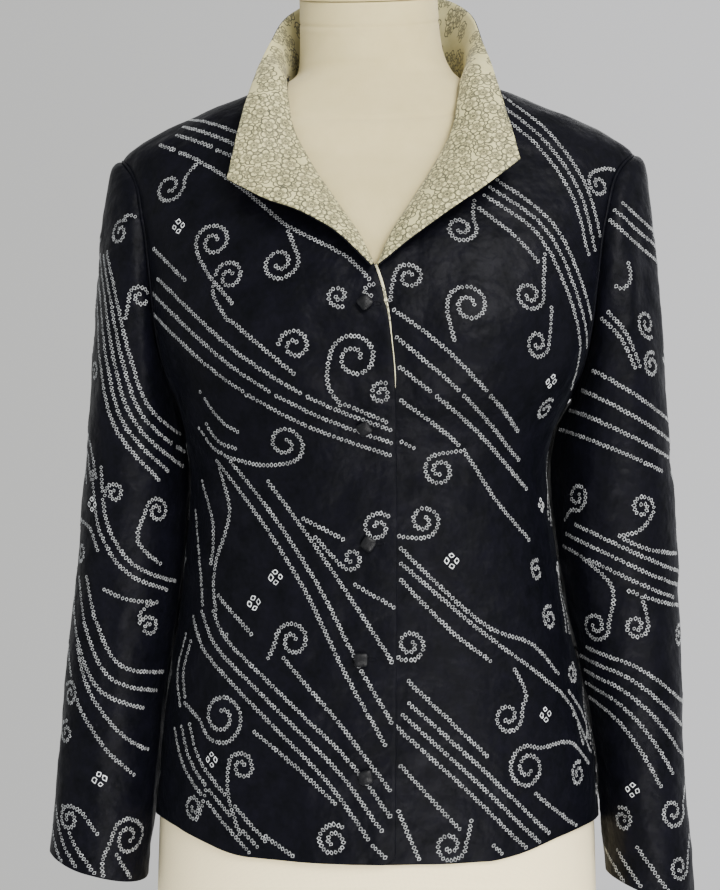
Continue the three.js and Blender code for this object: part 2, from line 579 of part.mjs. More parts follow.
// The form lies inside the jacket by its ease, and goes on below the hem.
function formTorso() {
  const angles = Array.from({ length: FORM_COLUMNS }, (_, k) => (2 * Math.PI * k) / FORM_COLUMNS);
  const lift = (z) => -WALL - columnAt(SECTIONS, "ease", z);
  const bottom = FORM_BOTTOM.z;
  const rings = [];
  const { round } = FORM_BOTTOM;
  for (const { rise, cut } of FORM_BOTTOM.rounding) {
    const ring = angles.map((a) => bodyPoint(a, bottom + round, lift(bottom) - cut * round, true));
    rings.push(ring.map((point) => point.setZ(bottom + rise * round)));
  }
  const heights = [...FORM_SKIRT_ROWS, ...panelRows().map((row) => row.z)];
  for (const z of heights) rings.push(angles.map((a) => bodyPoint(a, z, lift(z), true)));
  for (const row of NECK) rings.push(neckRing(row, 0, row.z));
  return stackOf("form_torso", rings, LINEN);
}

function formNeckCap() {
  const neck = NECK.at(-1);
  const ring = (out, height) => neckRing(neck, out, height);
  const [bottom, top] = [neck.z + SEAM, neck.z + SEAM + NECK_CAP.high];
  const rings = [
    ring(NECK_CAP.over, bottom),
    ring(NECK_CAP.over, top - NECK_CAP.round),
    ring(NECK_CAP.over - 0.3 * NECK_CAP.round, top - 0.3 * NECK_CAP.round),
    ring(NECK_CAP.over - NECK_CAP.round, top),
  ];
  return stackOf("form_neck_cap", rings, LINEN);
}

// A turned solid from (radius, height) points that start and end on the axis.
function turned(name, profile, material) {
  const geometry = new THREE.LatheGeometry(profile.map(([r, z]) => new THREE.Vector2(r, z)), 48);
  const mesh = new THREE.Mesh(geometry, material);
  mesh.name = name;
  mesh.rotation.x = Math.PI / 2;
  return mesh;
}

function formPole() {
  const foot = BASE.high + SEAM;
  const top = FORM_BOTTOM.z - SEAM;
  const { radius, footRadius, footHigh } = POLE;
  const profile = [
    [0, foot],
    [footRadius, foot],
    [footRadius, foot + 0.5 * footHigh],
    [footRadius - 2, foot + footHigh],
    [radius + 3, foot + footHigh],
    [radius, foot + 2 * footHigh],
    [radius, top],
    [0, top],
  ];
  return turned("form_pole", profile, ENAMEL);
}

function formBase() {
  const { radius, high, bevel } = BASE;
  const profile = [
    [0, 0],
    [radius, 0],
    [radius, high - bevel],
    [radius - bevel, high],
    [0, high],
  ];
  return turned("form_base", profile, ENAMEL);
}

// ---- The whole ------------------------------------------------------------------------------------------
const form = new THREE.Group();
form.add(formBase(), formPole(), formTorso(), formNeckCap());

const jacket = new THREE.Group();
const frontRight = jacketFrontRight();
jacket.add(jacketBack(), frontRight, jacketFrontLeft());
jacket.add(...sleeve("right"), ...sleeve("left"));
jacket.add(underCollar(), collar(), frontFacing());
BUTTONS.forEach((_, index) => jacket.add(button(index, frontRight)));

const group = new THREE.Group();
group.add(form, jacket);

export default group;
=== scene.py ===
"""A fitted jacket of black tie-dyed silk with a cream collar, worn by a limbless dress form.

Sizes are millimetres until a mesh is made, and meshes are metres. +Z is up, -Y is the front and +X is the
wearer's left, so the wearer's right has x below 0. Every cloth piece is a grid of points: its rows rise from
the hem and its columns run counter-clockwise as seen from above, so its faces point outwards.
"""
import logging
import math
from dataclasses import dataclass, field
from enum import Enum
from typing import Callable, Iterable, Iterator, Mapping, Sequence

import bpy
import numpy as np
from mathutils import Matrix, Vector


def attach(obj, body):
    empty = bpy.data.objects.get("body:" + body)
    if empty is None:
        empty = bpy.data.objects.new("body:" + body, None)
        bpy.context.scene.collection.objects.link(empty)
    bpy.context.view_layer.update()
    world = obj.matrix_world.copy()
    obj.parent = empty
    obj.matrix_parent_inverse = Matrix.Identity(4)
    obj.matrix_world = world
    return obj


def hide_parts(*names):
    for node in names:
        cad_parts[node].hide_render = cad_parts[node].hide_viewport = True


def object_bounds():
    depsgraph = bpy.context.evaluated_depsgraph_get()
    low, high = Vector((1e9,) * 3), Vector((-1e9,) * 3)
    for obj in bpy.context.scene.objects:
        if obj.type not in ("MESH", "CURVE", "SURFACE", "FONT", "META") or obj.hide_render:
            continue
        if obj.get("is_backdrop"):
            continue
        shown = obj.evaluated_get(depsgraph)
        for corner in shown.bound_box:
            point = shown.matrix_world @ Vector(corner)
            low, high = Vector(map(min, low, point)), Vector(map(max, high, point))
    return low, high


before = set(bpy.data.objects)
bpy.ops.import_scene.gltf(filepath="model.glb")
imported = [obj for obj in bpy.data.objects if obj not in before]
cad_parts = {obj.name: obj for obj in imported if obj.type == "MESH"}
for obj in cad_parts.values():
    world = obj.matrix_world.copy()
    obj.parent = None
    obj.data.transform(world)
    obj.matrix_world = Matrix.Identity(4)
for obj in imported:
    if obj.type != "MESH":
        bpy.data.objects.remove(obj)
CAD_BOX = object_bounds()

Array = np.ndarray
Pair = tuple[float, float]
Colour = tuple[float, ...]
Piece = bpy.types.Object
Node = bpy.types.Node
Tree = bpy.types.NodeTree
Socket = bpy.types.NodeSocket
Value = float | Sequence[float] | Socket
Inputs = Mapping[str | int, Value]
MM = 0.001
log = logging.getLogger("jacket")

# ---- Heights and allowances ------------------------------------------
HEM_Z = 690.0
UNDERARM_Z = 1038.0
SHOULDER_Z = 1232.0
NECK_Z = 1295.0
BICEP_Z = 1000.0
CLOTH = 1.0  # thickness of the fronts, back and sleeves
LEAF = 1.1  # thickness of each of the collar's two layers
SEAM = 0.3  # the gap that stands for stitching
RIM = 0.33  # how far a cut edge is rounded out, as a share of the cloth's thickness
WALL = 1.5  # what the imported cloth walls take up
HEM_RISE = 15.0  # how far the hem is drawn up at the sides


# ---- Numbers and curves ----------------------------------------------
def smoothstep(value: Array, low: float, high: float) -> Array:
    """0 at low, 1 at high, and a smooth S between them."""
    t = np.clip((np.asarray(value, float) - low) / (high - low), 0, 1)
    return t * t * (3 - 2 * t)


def unit(vectors: Array) -> Array:
    """The vectors scaled to length 1."""
    return vectors / np.maximum(np.linalg.norm(vectors, axis=-1, keepdims=True), 1e-12)


def around(count: int) -> Array:
    """Evenly spaced angles for one full turn."""
    return np.arange(count) * 2 * math.pi / count


def signed_power(value: Array, power: float) -> Array:
    """The value's size raised to a power, with its own sign."""
    return np.sign(value) * np.abs(value) ** power


def hermite(start: Array, end: Array, leave: Array, arrive: Array, t: Array) -> Array:
    """A cubic from start to end that leaves and arrives with the given slopes, at share t.

    Args:
        start: where it starts.
        end: where it ends.
        leave: its slope at the start.
        arrive: its slope at the end.
        t: the share of the way, from 0 to 1.

    Returns:
        The curve's values.
    """
    t2, t3 = t * t, t**3
    leaving = (2 * t3 - 3 * t2 + 1) * start + (t3 - 2 * t2 + t) * leave
    return leaving + (3 * t2 - 2 * t3) * end + (t3 - t2) * arrive


def curve_through(points: Sequence, places: Array) -> Array:
    """Points on a centripetal Catmull-Rom curve.

    Args:
        points: control points, each with 2 or 3 numbers.
        places: shares of the way, where 0 is the first control point and 1 is the last.

    Returns:
        One point per place. Each span is a cubic whose end slopes weigh the chords by their length's root.
    """
    points = np.asarray(points, float)
    row = np.vstack([2 * points[0] - points[1], points, 2 * points[-1] - points[-2]])
    at = np.clip(places, 0, 1) * (len(points) - 1)
    k = np.clip(at.astype(int), 0, len(points) - 2)
    p0, p1, p2, p3 = (row[k + i] for i in range(4))
    d0, d1, d2 = (np.sqrt(np.linalg.norm(b - a, axis=1))[:, None] for a, b in ((p0, p1), (p1, p2), (p2, p3)))
    leave = ((p1 - p0) / d0 - (p2 - p0) / (d0 + d1) + (p2 - p1) / d1) * d1
    arrive = ((p2 - p1) / d1 - (p3 - p1) / (d1 + d2) + (p3 - p2) / d2) * d1
    return hermite(p1, p2, leave, arrive, (at - k)[:, None])


class Profile:
    """Columns of numbers against height, on smooth curves through their rows that never overshoot."""

    def __init__(self, table: str, ease: float) -> None:
        """Samples each column at every millimetre.

        Each span is a cubic whose end slopes are the harmonic mean of its neighbours' slopes, or none where
        they differ in sign. The curve is then averaged with a bell of width ease, which rounds its bends.

        Args:
            table: a row of names, the first of which is the height, and then the rows of numbers.
            ease: the bell's standard deviation.
        """
        names, *rows = (row.split() for row in table.strip().splitlines())
        numbers = np.array(sorted(tuple(map(float, row)) for row in rows))
        z = numbers[:, 0]
        self.low, self.high = z[0], z[-1]
        self.heights = np.arange(z[0] - 60, z[-1] + 61)
        bell = np.exp(-0.5 * (np.arange(-3 * ease, 3 * ease + 1) / ease) ** 2)
        k = np.clip(np.searchsorted(z, self.heights) - 1, 0, len(z) - 2)
        step = z[k + 1] - z[k]
        t = (self.heights - z[k]) / step
        self.columns = {}
        for name, values in zip(names[1:], numbers[:, 1:].T):
            span = np.diff(values) / np.diff(z)
            slope = np.concatenate([span[:1], np.zeros(len(z) - 2), span[-1:]])
            agree = span[:-1] * span[1:] > 0
            total = np.where(agree, span[:-1] + span[1:], 1)
            slope[1:-1] = np.where(agree, 2 * span[:-1] * span[1:] / total, 0)
            inside = hermite(values[k], values[k + 1], slope[k] * step, slope[k + 1] * step, np.clip(t, 0, 1))
            beyond = np.minimum(t, 0) * slope[k] * step + np.maximum(t - 1, 0) * slope[k + 1] * step
            padded = np.pad(inside + beyond, len(bell) // 2, mode="reflect", reflect_type="odd")
            self.columns[name] = np.convolve(padded, bell / bell.sum(), mode="valid")

    def at(self, name: str, z: Array) -> Array:
        """A column's value at height z."""
        return np.interp(z, self.heights, self.columns[name])


# ---- The body's surface ----------------------------------------------
# Level by level: half widths to the wearer's right and left, depths to the front and back, how square the
# curve is at the front and the back (2 is an ellipse), and the form's ease inside it.
SECTIONS = Profile("""
z right left front back square_front square_back ease
460 160 160 112 118 2.3 2.3 2
620 181 181 125 128 2.2 2.3 2
690 180 180 125 125 2.05 2.3 2
745 175 177 122 122 2.2 2.3 3
810 168 166 117 114 2.3 2.3 6
874 158 152 111 104 2.3 2.3 10
939 152 142 107 97 2.3 2.3 14
980 150 138 108 95 2.4 2.3 15
1010 154 143 115 96 2.5 2.3 12
1038 161 157 126 98 2.5 2.3 9
1062 171 169 131 101 2.5 2.3 7
1090 179 178 131 104 2.45 2.3 6
1132 188 188 121 108 2.4 2.3 5
1165 195 195 109 109 2.4 2.3 4
1200 206 206 91 106 2.25 2.15 3
1232 209 209 75 98 2.1 1.95 5.5
1251 183 183 67 92 2.05 1.95 2.2
1270 141 141 59 84 2.05 2 1.5
1285 103 103 54 77 2.1 2.05 2.2
1296 74 74 51 71 2.1 2.1 2.2
1300 68 68 50 69 2.1 2.1 2.2
""", ease=5)
FRONT_EDGES = Profile("""
z right left
690 22 -22
1040 22 -22
1087 18 -20
1112 13 -8
1131 7 8
1157 -7 20
1185 -26 35
1217 -47 53
1244 -60 64
1270 -66 68
1295 -69 70
""", ease=2)


def section(low: Array, below: str, above: str, z: Array) -> Array:
    """One of two of the section's numbers at height z: below where low is true, and above elsewhere."""
    return np.where(low, SECTIONS.at(below, z), SECTIONS.at(above, z))


class Side(Enum):
    """The wearer's right and left, and the sign of x there."""

    RIGHT = -1
    LEFT = 1

    @property
    def word(self) -> str:
        """The side's name in lower case."""
        return self.name.lower()


@dataclass(frozen=True)
class Body:
    """The surface that the cloth lies on, as superellipses with a soft bust."""

    bust_z: float = 1064
    bust_apart: float = 84
    bust_lift: float = 7
    bust_wide: float = 42
    bust_high: float = 46
    armhole_front: float = 55
    armhole_back: float = 50
    armhole_square: float = 2.3
    side_seam_back: float = 10

    def plain(self, angle: Array, z: Array, even: bool = False) -> Array:
        """The surface at an angle from +X, counter-clockwise from above, at height z.

        The radius makes the powers of x over the half width and y over the depth add up to 1. The bust adds
        two bell-shaped mounds to the front depth.

        Args:
            angle: the angle about +Z.
            z: the height.
            even: whether both sides take the narrower half width.

        Returns:
            The points, in a last axis of 3.
        """
        angle, z = np.broadcast_arrays(np.asarray(angle, float), np.asarray(z, float))
        c, s = np.cos(angle), np.sin(angle)
        right, left = SECTIONS.at("right", z), SECTIONS.at("left", z)
        half = np.minimum(right, left) if even else np.where(c < 0, right, left)
        depth = section(s < 0, "front", "back", z)
        square = section(s < 0, "square_front", "square_back", z)
        radius = (np.abs(c / half) ** square + np.abs(s / depth) ** square) ** (-1 / square)
        x, y = radius * c, radius * s
        level = np.exp(-(((z - self.bust_z) / self.bust_high) ** 2))
        apexes = (-self.bust_apart, self.bust_apart)
        mounds = sum(np.exp(-(((x - apex) / self.bust_wide) ** 2)) for apex in apexes)
        y = y - self.bust_lift * level * mounds * smoothstep(-s, 0, 0.5)
        return np.stack([x, y, z], -1)

    def point(self, angle: Array, z: Array, lift: Array = 0.0, even: bool = False) -> Array:
        """The surface moved out along its normal, which is the cross of its two slopes, by lift.

        Args:
            angle: the angle round the body.
            z: the height.
            lift: how far out it is moved.
            even: whether both sides take the narrower half width.

        Returns:
            The points.
        """
        angle, z = np.asarray(angle, float), np.asarray(z, float)
        level = self.plain(angle + 0.01, z, even) - self.plain(angle - 0.01, z, even)
        up = self.plain(angle, z + 1.5, even) - self.plain(angle, z - 1.5, even)
        return self.plain(angle, z, even) + unit(np.cross(level, up)) * np.asarray(lift, float)[..., None]

    def front_angle(self, x: Array, z: Array) -> Array:
        """The angle at which the front surface at height z passes x.

        Args:
            x: how far to the wearer's left.
            z: the height.

        Returns:
            The angle.
        """
        half = section(np.asarray(x) < 0, "right", "left", z)
        square = SECTIONS.at("square_front", z)
        share = np.minimum(1, np.abs(x) / half)
        return np.arctan2(-SECTIONS.at("front", z) * (1 - share**square) ** (1 / square), x)

    def side_angle(self, side: Side, y: Array, z: Array) -> Array:
        """The angle at which the section at height z passes y on one side.

        Args:
            side: the side.
            y: how far to the back.
            z: the height.

        Returns:
            The angle.
        """
        depth = section(y < 0, "front", "back", z)
        square = section(y < 0, "square_front", "square_back", z)
        share = np.minimum(1, np.abs(y) / depth)
        return np.arctan2(y, side.value * SECTIONS.at(side.word, z) * (1 - share**square) ** (1 / square))

    def armhole(self, turn: Array) -> tuple[Array, Array]:
        """The armhole's y and z at a turn from its top, where positive turns go down the front.

        Args:
            turn: the turn in radians.

        Returns:
            Its y and z.
        """
        c, s = np.cos(turn), np.sin(turn)
        power = 2 / self.armhole_square
        depth = np.where(s > 0, -self.armhole_front, self.armhole_back)
        middle, reach = (SHOULDER_Z + UNDERARM_Z) / 2, (SHOULDER_Z - UNDERARM_Z) / 2
        return depth * np.abs(s) ** power, middle + reach * signed_power(c, power)


BODY = Body()


def hem_rise(x: Array, z: Array) -> Array:
    """How far cloth near the hem is drawn up at the sides, which lie 90 to 172 from the middle."""
    return HEM_RISE * smoothstep(np.abs(x), 90, 172) * (1 - smoothstep(z, HEM_Z, HEM_Z + 80))


def lap_lift(x: Array, z: Array) -> Array:
    """How far the right front rises at (x, z) to lap over the left front."""
    return (WALL + 2 * SEAM) * (1 - smoothstep(-x, 42, 70)) * (1 - smoothstep(z, 1131, 1185))


# ---- Meshes from arrays ----------------------------------------------
def new_piece(
    name: str, points: Array, faces: Sequence[Array], uv: Sequence[Array] = (), **values: Array
) -> Piece:
    """Makes a smooth-shaded mesh object at the origin.

    Args:
        name: the piece's name.
        points: vertex positions in millimetres.
        faces: arrays of faces, each with one number of corners.
        uv: for each array of faces, its corners' cloth coordinates in millimetres.
        values: named numbers, one for each vertex.

    Returns:
        The new object, linked into the scene.
    """
    mesh = bpy.data.meshes.new(name)
    counts = np.concatenate([np.full(len(f), f.shape[1]) for f in faces])
    corners = np.concatenate([f.ravel() for f in faces]).astype(np.int32)
    mesh.vertices.add(len(points))
    mesh.vertices.foreach_set("co", (points * MM).astype(np.float32).ravel())
    mesh.loops.add(len(corners))
    mesh.loops.foreach_set("vertex_index", corners)
    mesh.polygons.add(len(counts))
    mesh.polygons.foreach_set("loop_start", (np.cumsum(counts) - counts).astype(np.int32))
    mesh.update(calc_edges=True)
    mesh.shade_smooth()
    if len(uv):
        flat = np.concatenate([np.asarray(part).reshape(-1, 2) for part in uv]) * MM
        mesh.uv_layers.new(name="cloth").data.foreach_set("uv", flat.astype(np.float32).ravel())
    for key, numbers in values.items():
        attribute = mesh.attributes.new(key, "FLOAT", "POINT")
        attribute.data.foreach_set("value", numbers.astype(np.float32).ravel())
    made = bpy.data.objects.new(name, mesh)
    bpy.context.scene.collection.objects.link(made)
    if mesh.validate():
        log.warning("%s had faults in its mesh", name)
    return made


def grid_faces(rows: int, columns: int, wrap: bool = False) -> Array:
    """The quads of a grid of vertices numbered row by row, counter-clockwise as seen from outside.

    Args:
        rows: the number of rows.
        columns: the number of columns.
        wrap: whether the last column joins the first.

    Returns:
        Four indices for each quad.
    """
    i, j = np.meshgrid(np.arange(rows - 1), np.arange(columns if wrap else columns - 1), indexing="ij")
    k = (j + 1) % columns
    quads = np.stack([i * columns + j, i * columns + k, (i + 1) * columns + k, (i + 1) * columns + j], -1)
    return quads.reshape(-1, 4)


def quad_corners(values: Array) -> Array:
    """What a grid of values holds at the four corners of each quad, in the order of grid_faces."""
    corners = values[:-1, :-1], values[:-1, 1:], values[1:, 1:], values[1:, :-1]
    return np.stack(corners, 2).reshape(-1, 4, values.shape[-1])


def rim_loops(rows: int, columns: int, wrap: bool) -> list[tuple[Array, Array]]:
    """The rows and columns of a grid's borders, each in the sense in which its outer faces run.

    Args:
        rows: the number of rows.
        columns: the number of columns.
        wrap: whether the last column joins the first.

    Returns:
        Each border's rows and columns.
    """
    across, up = np.arange(columns), np.arange(rows)
    if wrap:
        return [(np.zeros(columns, int), across), (np.full(columns, rows - 1), across[::-1])]
    i = np.concatenate([0 * across[:-1], up[:-1], 0 * across[:-1] + rows - 1, up[:0:-1]])
    j = np.concatenate([across[:-1], 0 * up[:-1] + columns - 1, across[:0:-1], 0 * up[:-1]])
    return [(i, j)]


def shell(name: str, outer: Array, inner: Array, wrap: bool, uv: Array) -> Piece:
    """A closed wall between two grids, with rounded rims.

    Each border gets a middle line, halfway between its two edges and pushed out past them by about a third
    of the wall, so that the cloth's edge is round.

    Args:
        name: the piece's name.
        outer: the outer grid of points.
        inner: the inner grid of points.
        wrap: whether the last column joins the first.
        uv: cloth coordinates of the grid, with one more column than the grid where it wraps.

    Returns:
        The object.
    """
    rows, columns = outer.shape[:2]
    size = rows * columns
    points = [outer.reshape(-1, 3), inner.reshape(-1, 3)]
    quads = grid_faces(rows, columns, wrap=wrap)
    faces = [quads, quads[:, ::-1] + size]
    corners = quad_corners(uv)
    coordinates = [corners, corners[:, ::-1]]
    first = 2 * size
    for i, j in rim_loops(rows, columns, wrap):
        a, b = outer[i, j], inner[i, j]
        deeper_i = np.clip(i, 1, rows - 2)
        deeper_j = j if wrap else np.clip(j, 1, columns - 2)
        push = unit(a - outer[deeper_i, deeper_j]) * np.linalg.norm(a - b, axis=1)[:, None] * RIM
        points.append((a + b) / 2 + push)
        k = np.arange(len(i))
        n = (k + 1) % len(i)
        o, w, m = i * columns + j, i * columns + j + size, first + k
        faces += [np.stack([o[n], o, m, m[n]], 1), np.stack([m[n], m, w, w[n]], 1)]
        coordinates += [np.stack([uv[i[n], j[n]], uv[i, j], uv[i, j], uv[i[n], j[n]]], 1)] * 2
        first += len(i)
    return new_piece(name, np.concatenate(points), faces, coordinates)


def stack(name: str, rings: Array) -> Piece:
    """A closed solid through rings of points, with a fan over each end and lengths around and up as its map.

    Args:
        name: the piece's name.
        rings: rows of points that run counter-clockwise, from the lowest up.

    Returns:
        The object.
    """
    rows, columns = rings.shape[:2]
    points = np.concatenate([rings.reshape(-1, 3), rings[:1].mean(1), rings[-1:].mean(1)])
    low, high = rows * columns, rows * columns + 1
    j = np.arange(columns)
    k = (j + 1) % columns
    quads = grid_faces(rows, columns, wrap=True)
    last = (rows - 1) * columns
    fans = np.concatenate([np.stack([0 * j + low, k, j], 1), np.stack([0 * j + high, last + j, last + k], 1)])
    coordinates = [quad_corners(cloth_coordinates(rings, wrap=True)), points[fans][..., :2]]
    return new_piece(name, points, [quads, fans], coordinates)


def lengths(grid: Array, axis: int) -> Array:
    """How far along its row (axis 1) or column (axis 0) each of a grid's points is from the first."""
    steps = np.cumsum(np.linalg.norm(np.diff(grid, axis=axis), axis=2), axis)
    return np.pad(steps, ((1 - axis, 0), (axis, 0)))


def cloth_coordinates(grid: Array, wrap: bool) -> Array:
    """Lengths along a grid's rows, from its middle column, and up its columns, from its first row.

    Args:
        grid: rows of points.
        wrap: whether the last column joins the first.

    Returns:
        Two lengths for each point.
    """
    closed = np.concatenate([grid, grid[:, :1]], 1) if wrap else grid
    across = lengths(closed, 1)
    return np.stack([across - across[:, [across.shape[1] // 2]], lengths(closed, 0)], -1)


# ---- Places on a piece of cloth --------------------------------------
class View(Enum):
    """A side that cloth is seen from: the axis across it, and the direction that faces the viewer."""

    FRONT = (0, (0.0, -1.0, 0.0))
    BACK = (0, (0.0, 1.0, 0.0))
    RIGHT = (1, (-1.0, 0.0, 0.0))
    LEFT = (1, (1.0, 0.0, 0.0))

    @property
    def axes(self) -> list[int]:
        """The two coordinates that the view shows, across and up."""
        return [self.value[0], 2]

    @property
    def facing(self) -> Array:
        """The direction from the cloth to the viewer."""
        return np.array(self.value[1])


class Surface:
    """A grid of points over a piece of cloth, and the ways to find a place on it."""

    THIN = 3  # one row and column in so many is tried as a start
    STEPS = 7
    LONGEST_STEP = 4
    LEAST_FACING = 0.02
    LEAST_SCALE = 0.02
    NEAR = 0.6

    def __init__(self, points: Array, wrap: bool) -> None:
        """Keeps the grid and works out its slopes and normals.

        Args:
            points: the grid.
            wrap: whether the last column joins the first.
        """
        self.points, self.wrap = points, wrap
        self.rows, self.columns = points.shape[:2]
        self.up = np.gradient(points, axis=0)
        if wrap:
            self.along = (np.roll(points, -1, 1) - np.roll(points, 1, 1)) / 2
        else:
            self.along = np.gradient(points, axis=1)
        self.normals = unit(np.cross(self.along, self.up))

    def mix(self, grid: Array, row: Array, column: Array) -> Array:
        """The grid's value at a place between its vertices: the weighted mean of the four round it.

        Args:
            grid: the values at the vertices.
            row: the place's row.
            column: the place's column.

        Returns:
            The values at the places.
        """
        row = np.clip(row, 0, self.rows - 1.001)
        column = np.mod(column, self.columns) if self.wrap else np.clip(column, 0, self.columns - 1.001)
        i, j = row.astype(int), column.astype(int)
        j = np.minimum(j, self.columns - 1)
        s, t, k = (row - i)[..., None], (column - j)[..., None], (j + 1) % self.columns
        low = (1 - t) * grid[i, j] + t * grid[i, k]
        high = (1 - t) * grid[i + 1, j] + t * grid[i + 1, k]
        return (1 - s) * low + s * high

    def at(self, row: Array, column: Array, lift: Array = 0.0) -> Array:
        """The surface's point at a place, moved out along its normal by lift."""
        normal = unit(self.mix(self.normals, row, column))
        return self.mix(self.points, row, column) + normal * np.asarray(lift, float)[..., None]

    def find(self, view: View, seen: Array) -> tuple[Array, Array, Array]:
        """Finds the places that a view shows at given coordinates.

        The nearest vertex that faces the viewer is where Newton's steps on the two shown coordinates start.

        Args:
            view: the side it is seen from.
            seen: rows of (across, up).

        Returns:
            Each place's row and column, and whether it lies on the piece.
        """
        thin, axes, far = self.THIN, view.axes, self.LONGEST_STEP
        coarse = self.points[::thin, ::thin]
        i, j = np.nonzero(self.normals[::thin, ::thin] @ view.facing > self.LEAST_FACING)
        gaps = np.linalg.norm(coarse[i, j][None, :, axes] - seen[:, None], axis=2)
        nearest = gaps.argmin(1)
        row, column = i[nearest] * float(thin), j[nearest] * float(thin)
        for _ in range(self.STEPS):
            miss = (seen - self.mix(self.points, row, column)[:, axes]).T
            up, along = (self.mix(slope, row, column)[:, axes].T for slope in (self.up, self.along))
            scale = up[0] * along[1] - up[1] * along[0]
            scale = np.where(np.abs(scale) < self.LEAST_SCALE, np.copysign(self.LEAST_SCALE, scale), scale)
            row = row + np.clip((miss[0] * along[1] - miss[1] * along[0]) / scale, -far, far)
            column = column + np.clip((up[0] * miss[1] - up[1] * miss[0]) / scale, -far, far)
            row = np.clip(row, 0, self.rows - 1)
            column = np.mod(column, self.columns) if self.wrap else np.clip(column, 0, self.columns - 1)
        miss = np.linalg.norm(seen - self.mix(self.points, row, column)[:, axes], axis=1)
        shown = self.mix(self.normals, row, column) @ view.facing > self.LEAST_FACING
        return row, column, (miss < self.NEAR) & shown

    def frame_at(self, row: Array, column: Array) -> tuple[Array, Array, Array]:
        """At each place, a level unit vector along the cloth, one up the cloth, and its normal.

        Args:
            row: the places' rows.
            column: the places' columns.

        Returns:
            The three unit vectors.
        """
        normal = unit(self.mix(self.normals, row, column))
        level = unit(np.cross(np.array([0.0, 0.0, 1.0]) + 0.001, normal))
        return level, np.cross(normal, level), normal

    def moved(self, row: Array, column: Array, right: Array, rise: Array) -> tuple[Array, Array]:
        """The places a few millimetres to the right of and above others, measured on the cloth.

        Args:
            row: rows of the places, one for each.
            column: their columns.
            right: one row of level distances for each place.
            rise: the same for distances up the cloth.

        Returns:
            The new places' rows and columns.
        """
        level, rising, _ = self.frame_at(row, column)
        up, along = self.mix(self.up, row, column), self.mix(self.along, row, column)
        a, b = (up * level).sum(1)[:, None], (along * level).sum(1)[:, None]
        c, d = (up * rising).sum(1)[:, None], (along * rising).sum(1)[:, None]
        scale = a * d - b * c
        return row[:, None] + (right * d - b * rise) / scale, column[:, None] + (a * rise - right * c) / scale

    def edge_gap(self, row: Array, column: Array) -> Array:
        """How far each place is from the piece's nearest edge.

        Args:
            row: the places' rows.
            column: the places' columns.

        Returns:
            The distances.
        """
        up = np.linalg.norm(self.mix(self.up, row, column), axis=1)
        gap = np.minimum(row, self.rows - 1 - row) * up
        if self.wrap:
            return gap
        along = np.linalg.norm(self.mix(self.along, row, column), axis=1)
        return np.minimum(gap, np.minimum(column, self.columns - 1 - column) * along)


# ---- Relief ----------------------------------------------------------
@dataclass(frozen=True)
class Fold:
    """A soft ridge, or a trough where depth is below 0, along a curve as a view shows it."""

    path: tuple[Pair, ...]
    depth: float
    width: float
    view: View = View.FRONT
    sharp: bool = False

    def relief(self, surface: Surface) -> Array:
        """How far the fold moves each vertex out: a bell across the curve that fades towards both ends.

        Args:
            surface: the cloth before it is folded.

        Returns:
            One number for each vertex.
        """
        line = curve_through(self.path, np.linspace(0, 1, 8 * len(self.path)))
        seen = surface.points[..., self.view.axes]
        best = np.full(seen.shape[:2], 1e9)
        share = np.zeros(seen.shape[:2])
        for k, (a, b) in enumerate(zip(line[:-1], line[1:])):
            step = b - a
            t = np.clip(((seen - a) @ step) / (step @ step), 0, 1)
            gap = np.linalg.norm(seen - a - t[..., None] * step, axis=-1)
            closer = gap < best
            best = np.where(closer, gap, best)
            share = np.where(closer, (k + t) / (len(line) - 1), share)
        bell = np.exp(-best / self.width) if self.sharp else np.exp(-((best / self.width) ** 2))
        ends = 1.0 if self.sharp else smoothstep(share, 0, 0.3) * smoothstep(1 - share, 0, 0.3)
        shown = smoothstep(surface.normals @ self.view.facing, 0.0, 0.3)
        return self.depth * bell * ends * shown


def crinkle(points: Array, size: float) -> Array:
    """Small uneven waves: a sum of sines in fixed directions, with wavelengths from 13 to 45 mm.

    Args:
        points: the vertices.
        size: how far the waves rise.

    Returns:
        One number for each vertex.
    """
    random = np.random.default_rng(11)
    total = np.zeros(points.shape[:-1])
    for wavelength in (13, 17, 22, 29, 36, 45):
        direction = unit(random.normal(size=3) * (1, 1, 0.6))
        bend = points @ unit(random.normal(size=3)) / (0.6 * wavelength)
        phase = 1.7 * np.sin(bend + random.uniform(0, 6.3))
        total += wavelength / 30 * np.sin(2 * math.pi * (points @ direction) / wavelength + phase)
    return size * total / 2.2


def seam_relief(gap: Array, along: Array) -> Array:
    """A dip at a seam, with small puckers beside it.

    Args:
        gap: each vertex's distance from the seam.
        along: its distance along the seam.

    Returns:
        How far each vertex moves out: a sharp dip, and waves along the seam that fade away from it.
    """
    waves = np.sin(along / 2.1 + 1.3 * np.sin(along / 9.7)) * np.sin(along / 23.0 + 1)
    return -0.9 * np.exp(-gap / 1.7) + 0.28 * waves * np.exp(-gap / 8.0) * (1 - np.exp(-gap / 1.5))


# ---- The rings of the tie-dye ----------------------------------------
@dataclass(frozen=True)
class Stream:
    """Lines of rings side by side along one curve, as a view shows it."""

    path: tuple[Pair, ...]
    lines: int = 1
    gap: float = 5.2
    fan: float = 1.0
    view: View = View.FRONT


@dataclass(frozen=True)
class Curl:
    """A spiral of rings round a point, with a stem that may lead away from it."""

    at: Pair
    radius: float
    turns: float
    start: float
    stem: tuple[Pair, ...] = ()
    view: View = View.FRONT


@dataclass(frozen=True)
class Cross:
    """Four larger rings that touch."""

    at: Pair
    view: View = View.FRONT


Item = Stream | Curl | Cross
# A ring's edges and crest: how far from its middle, how far above the cloth, and how pale.
RING_LEVELS = ((1.0, -0.08, 0.0), (0.77, 0.34, 1.0), (0.48, -0.05, 0.12))


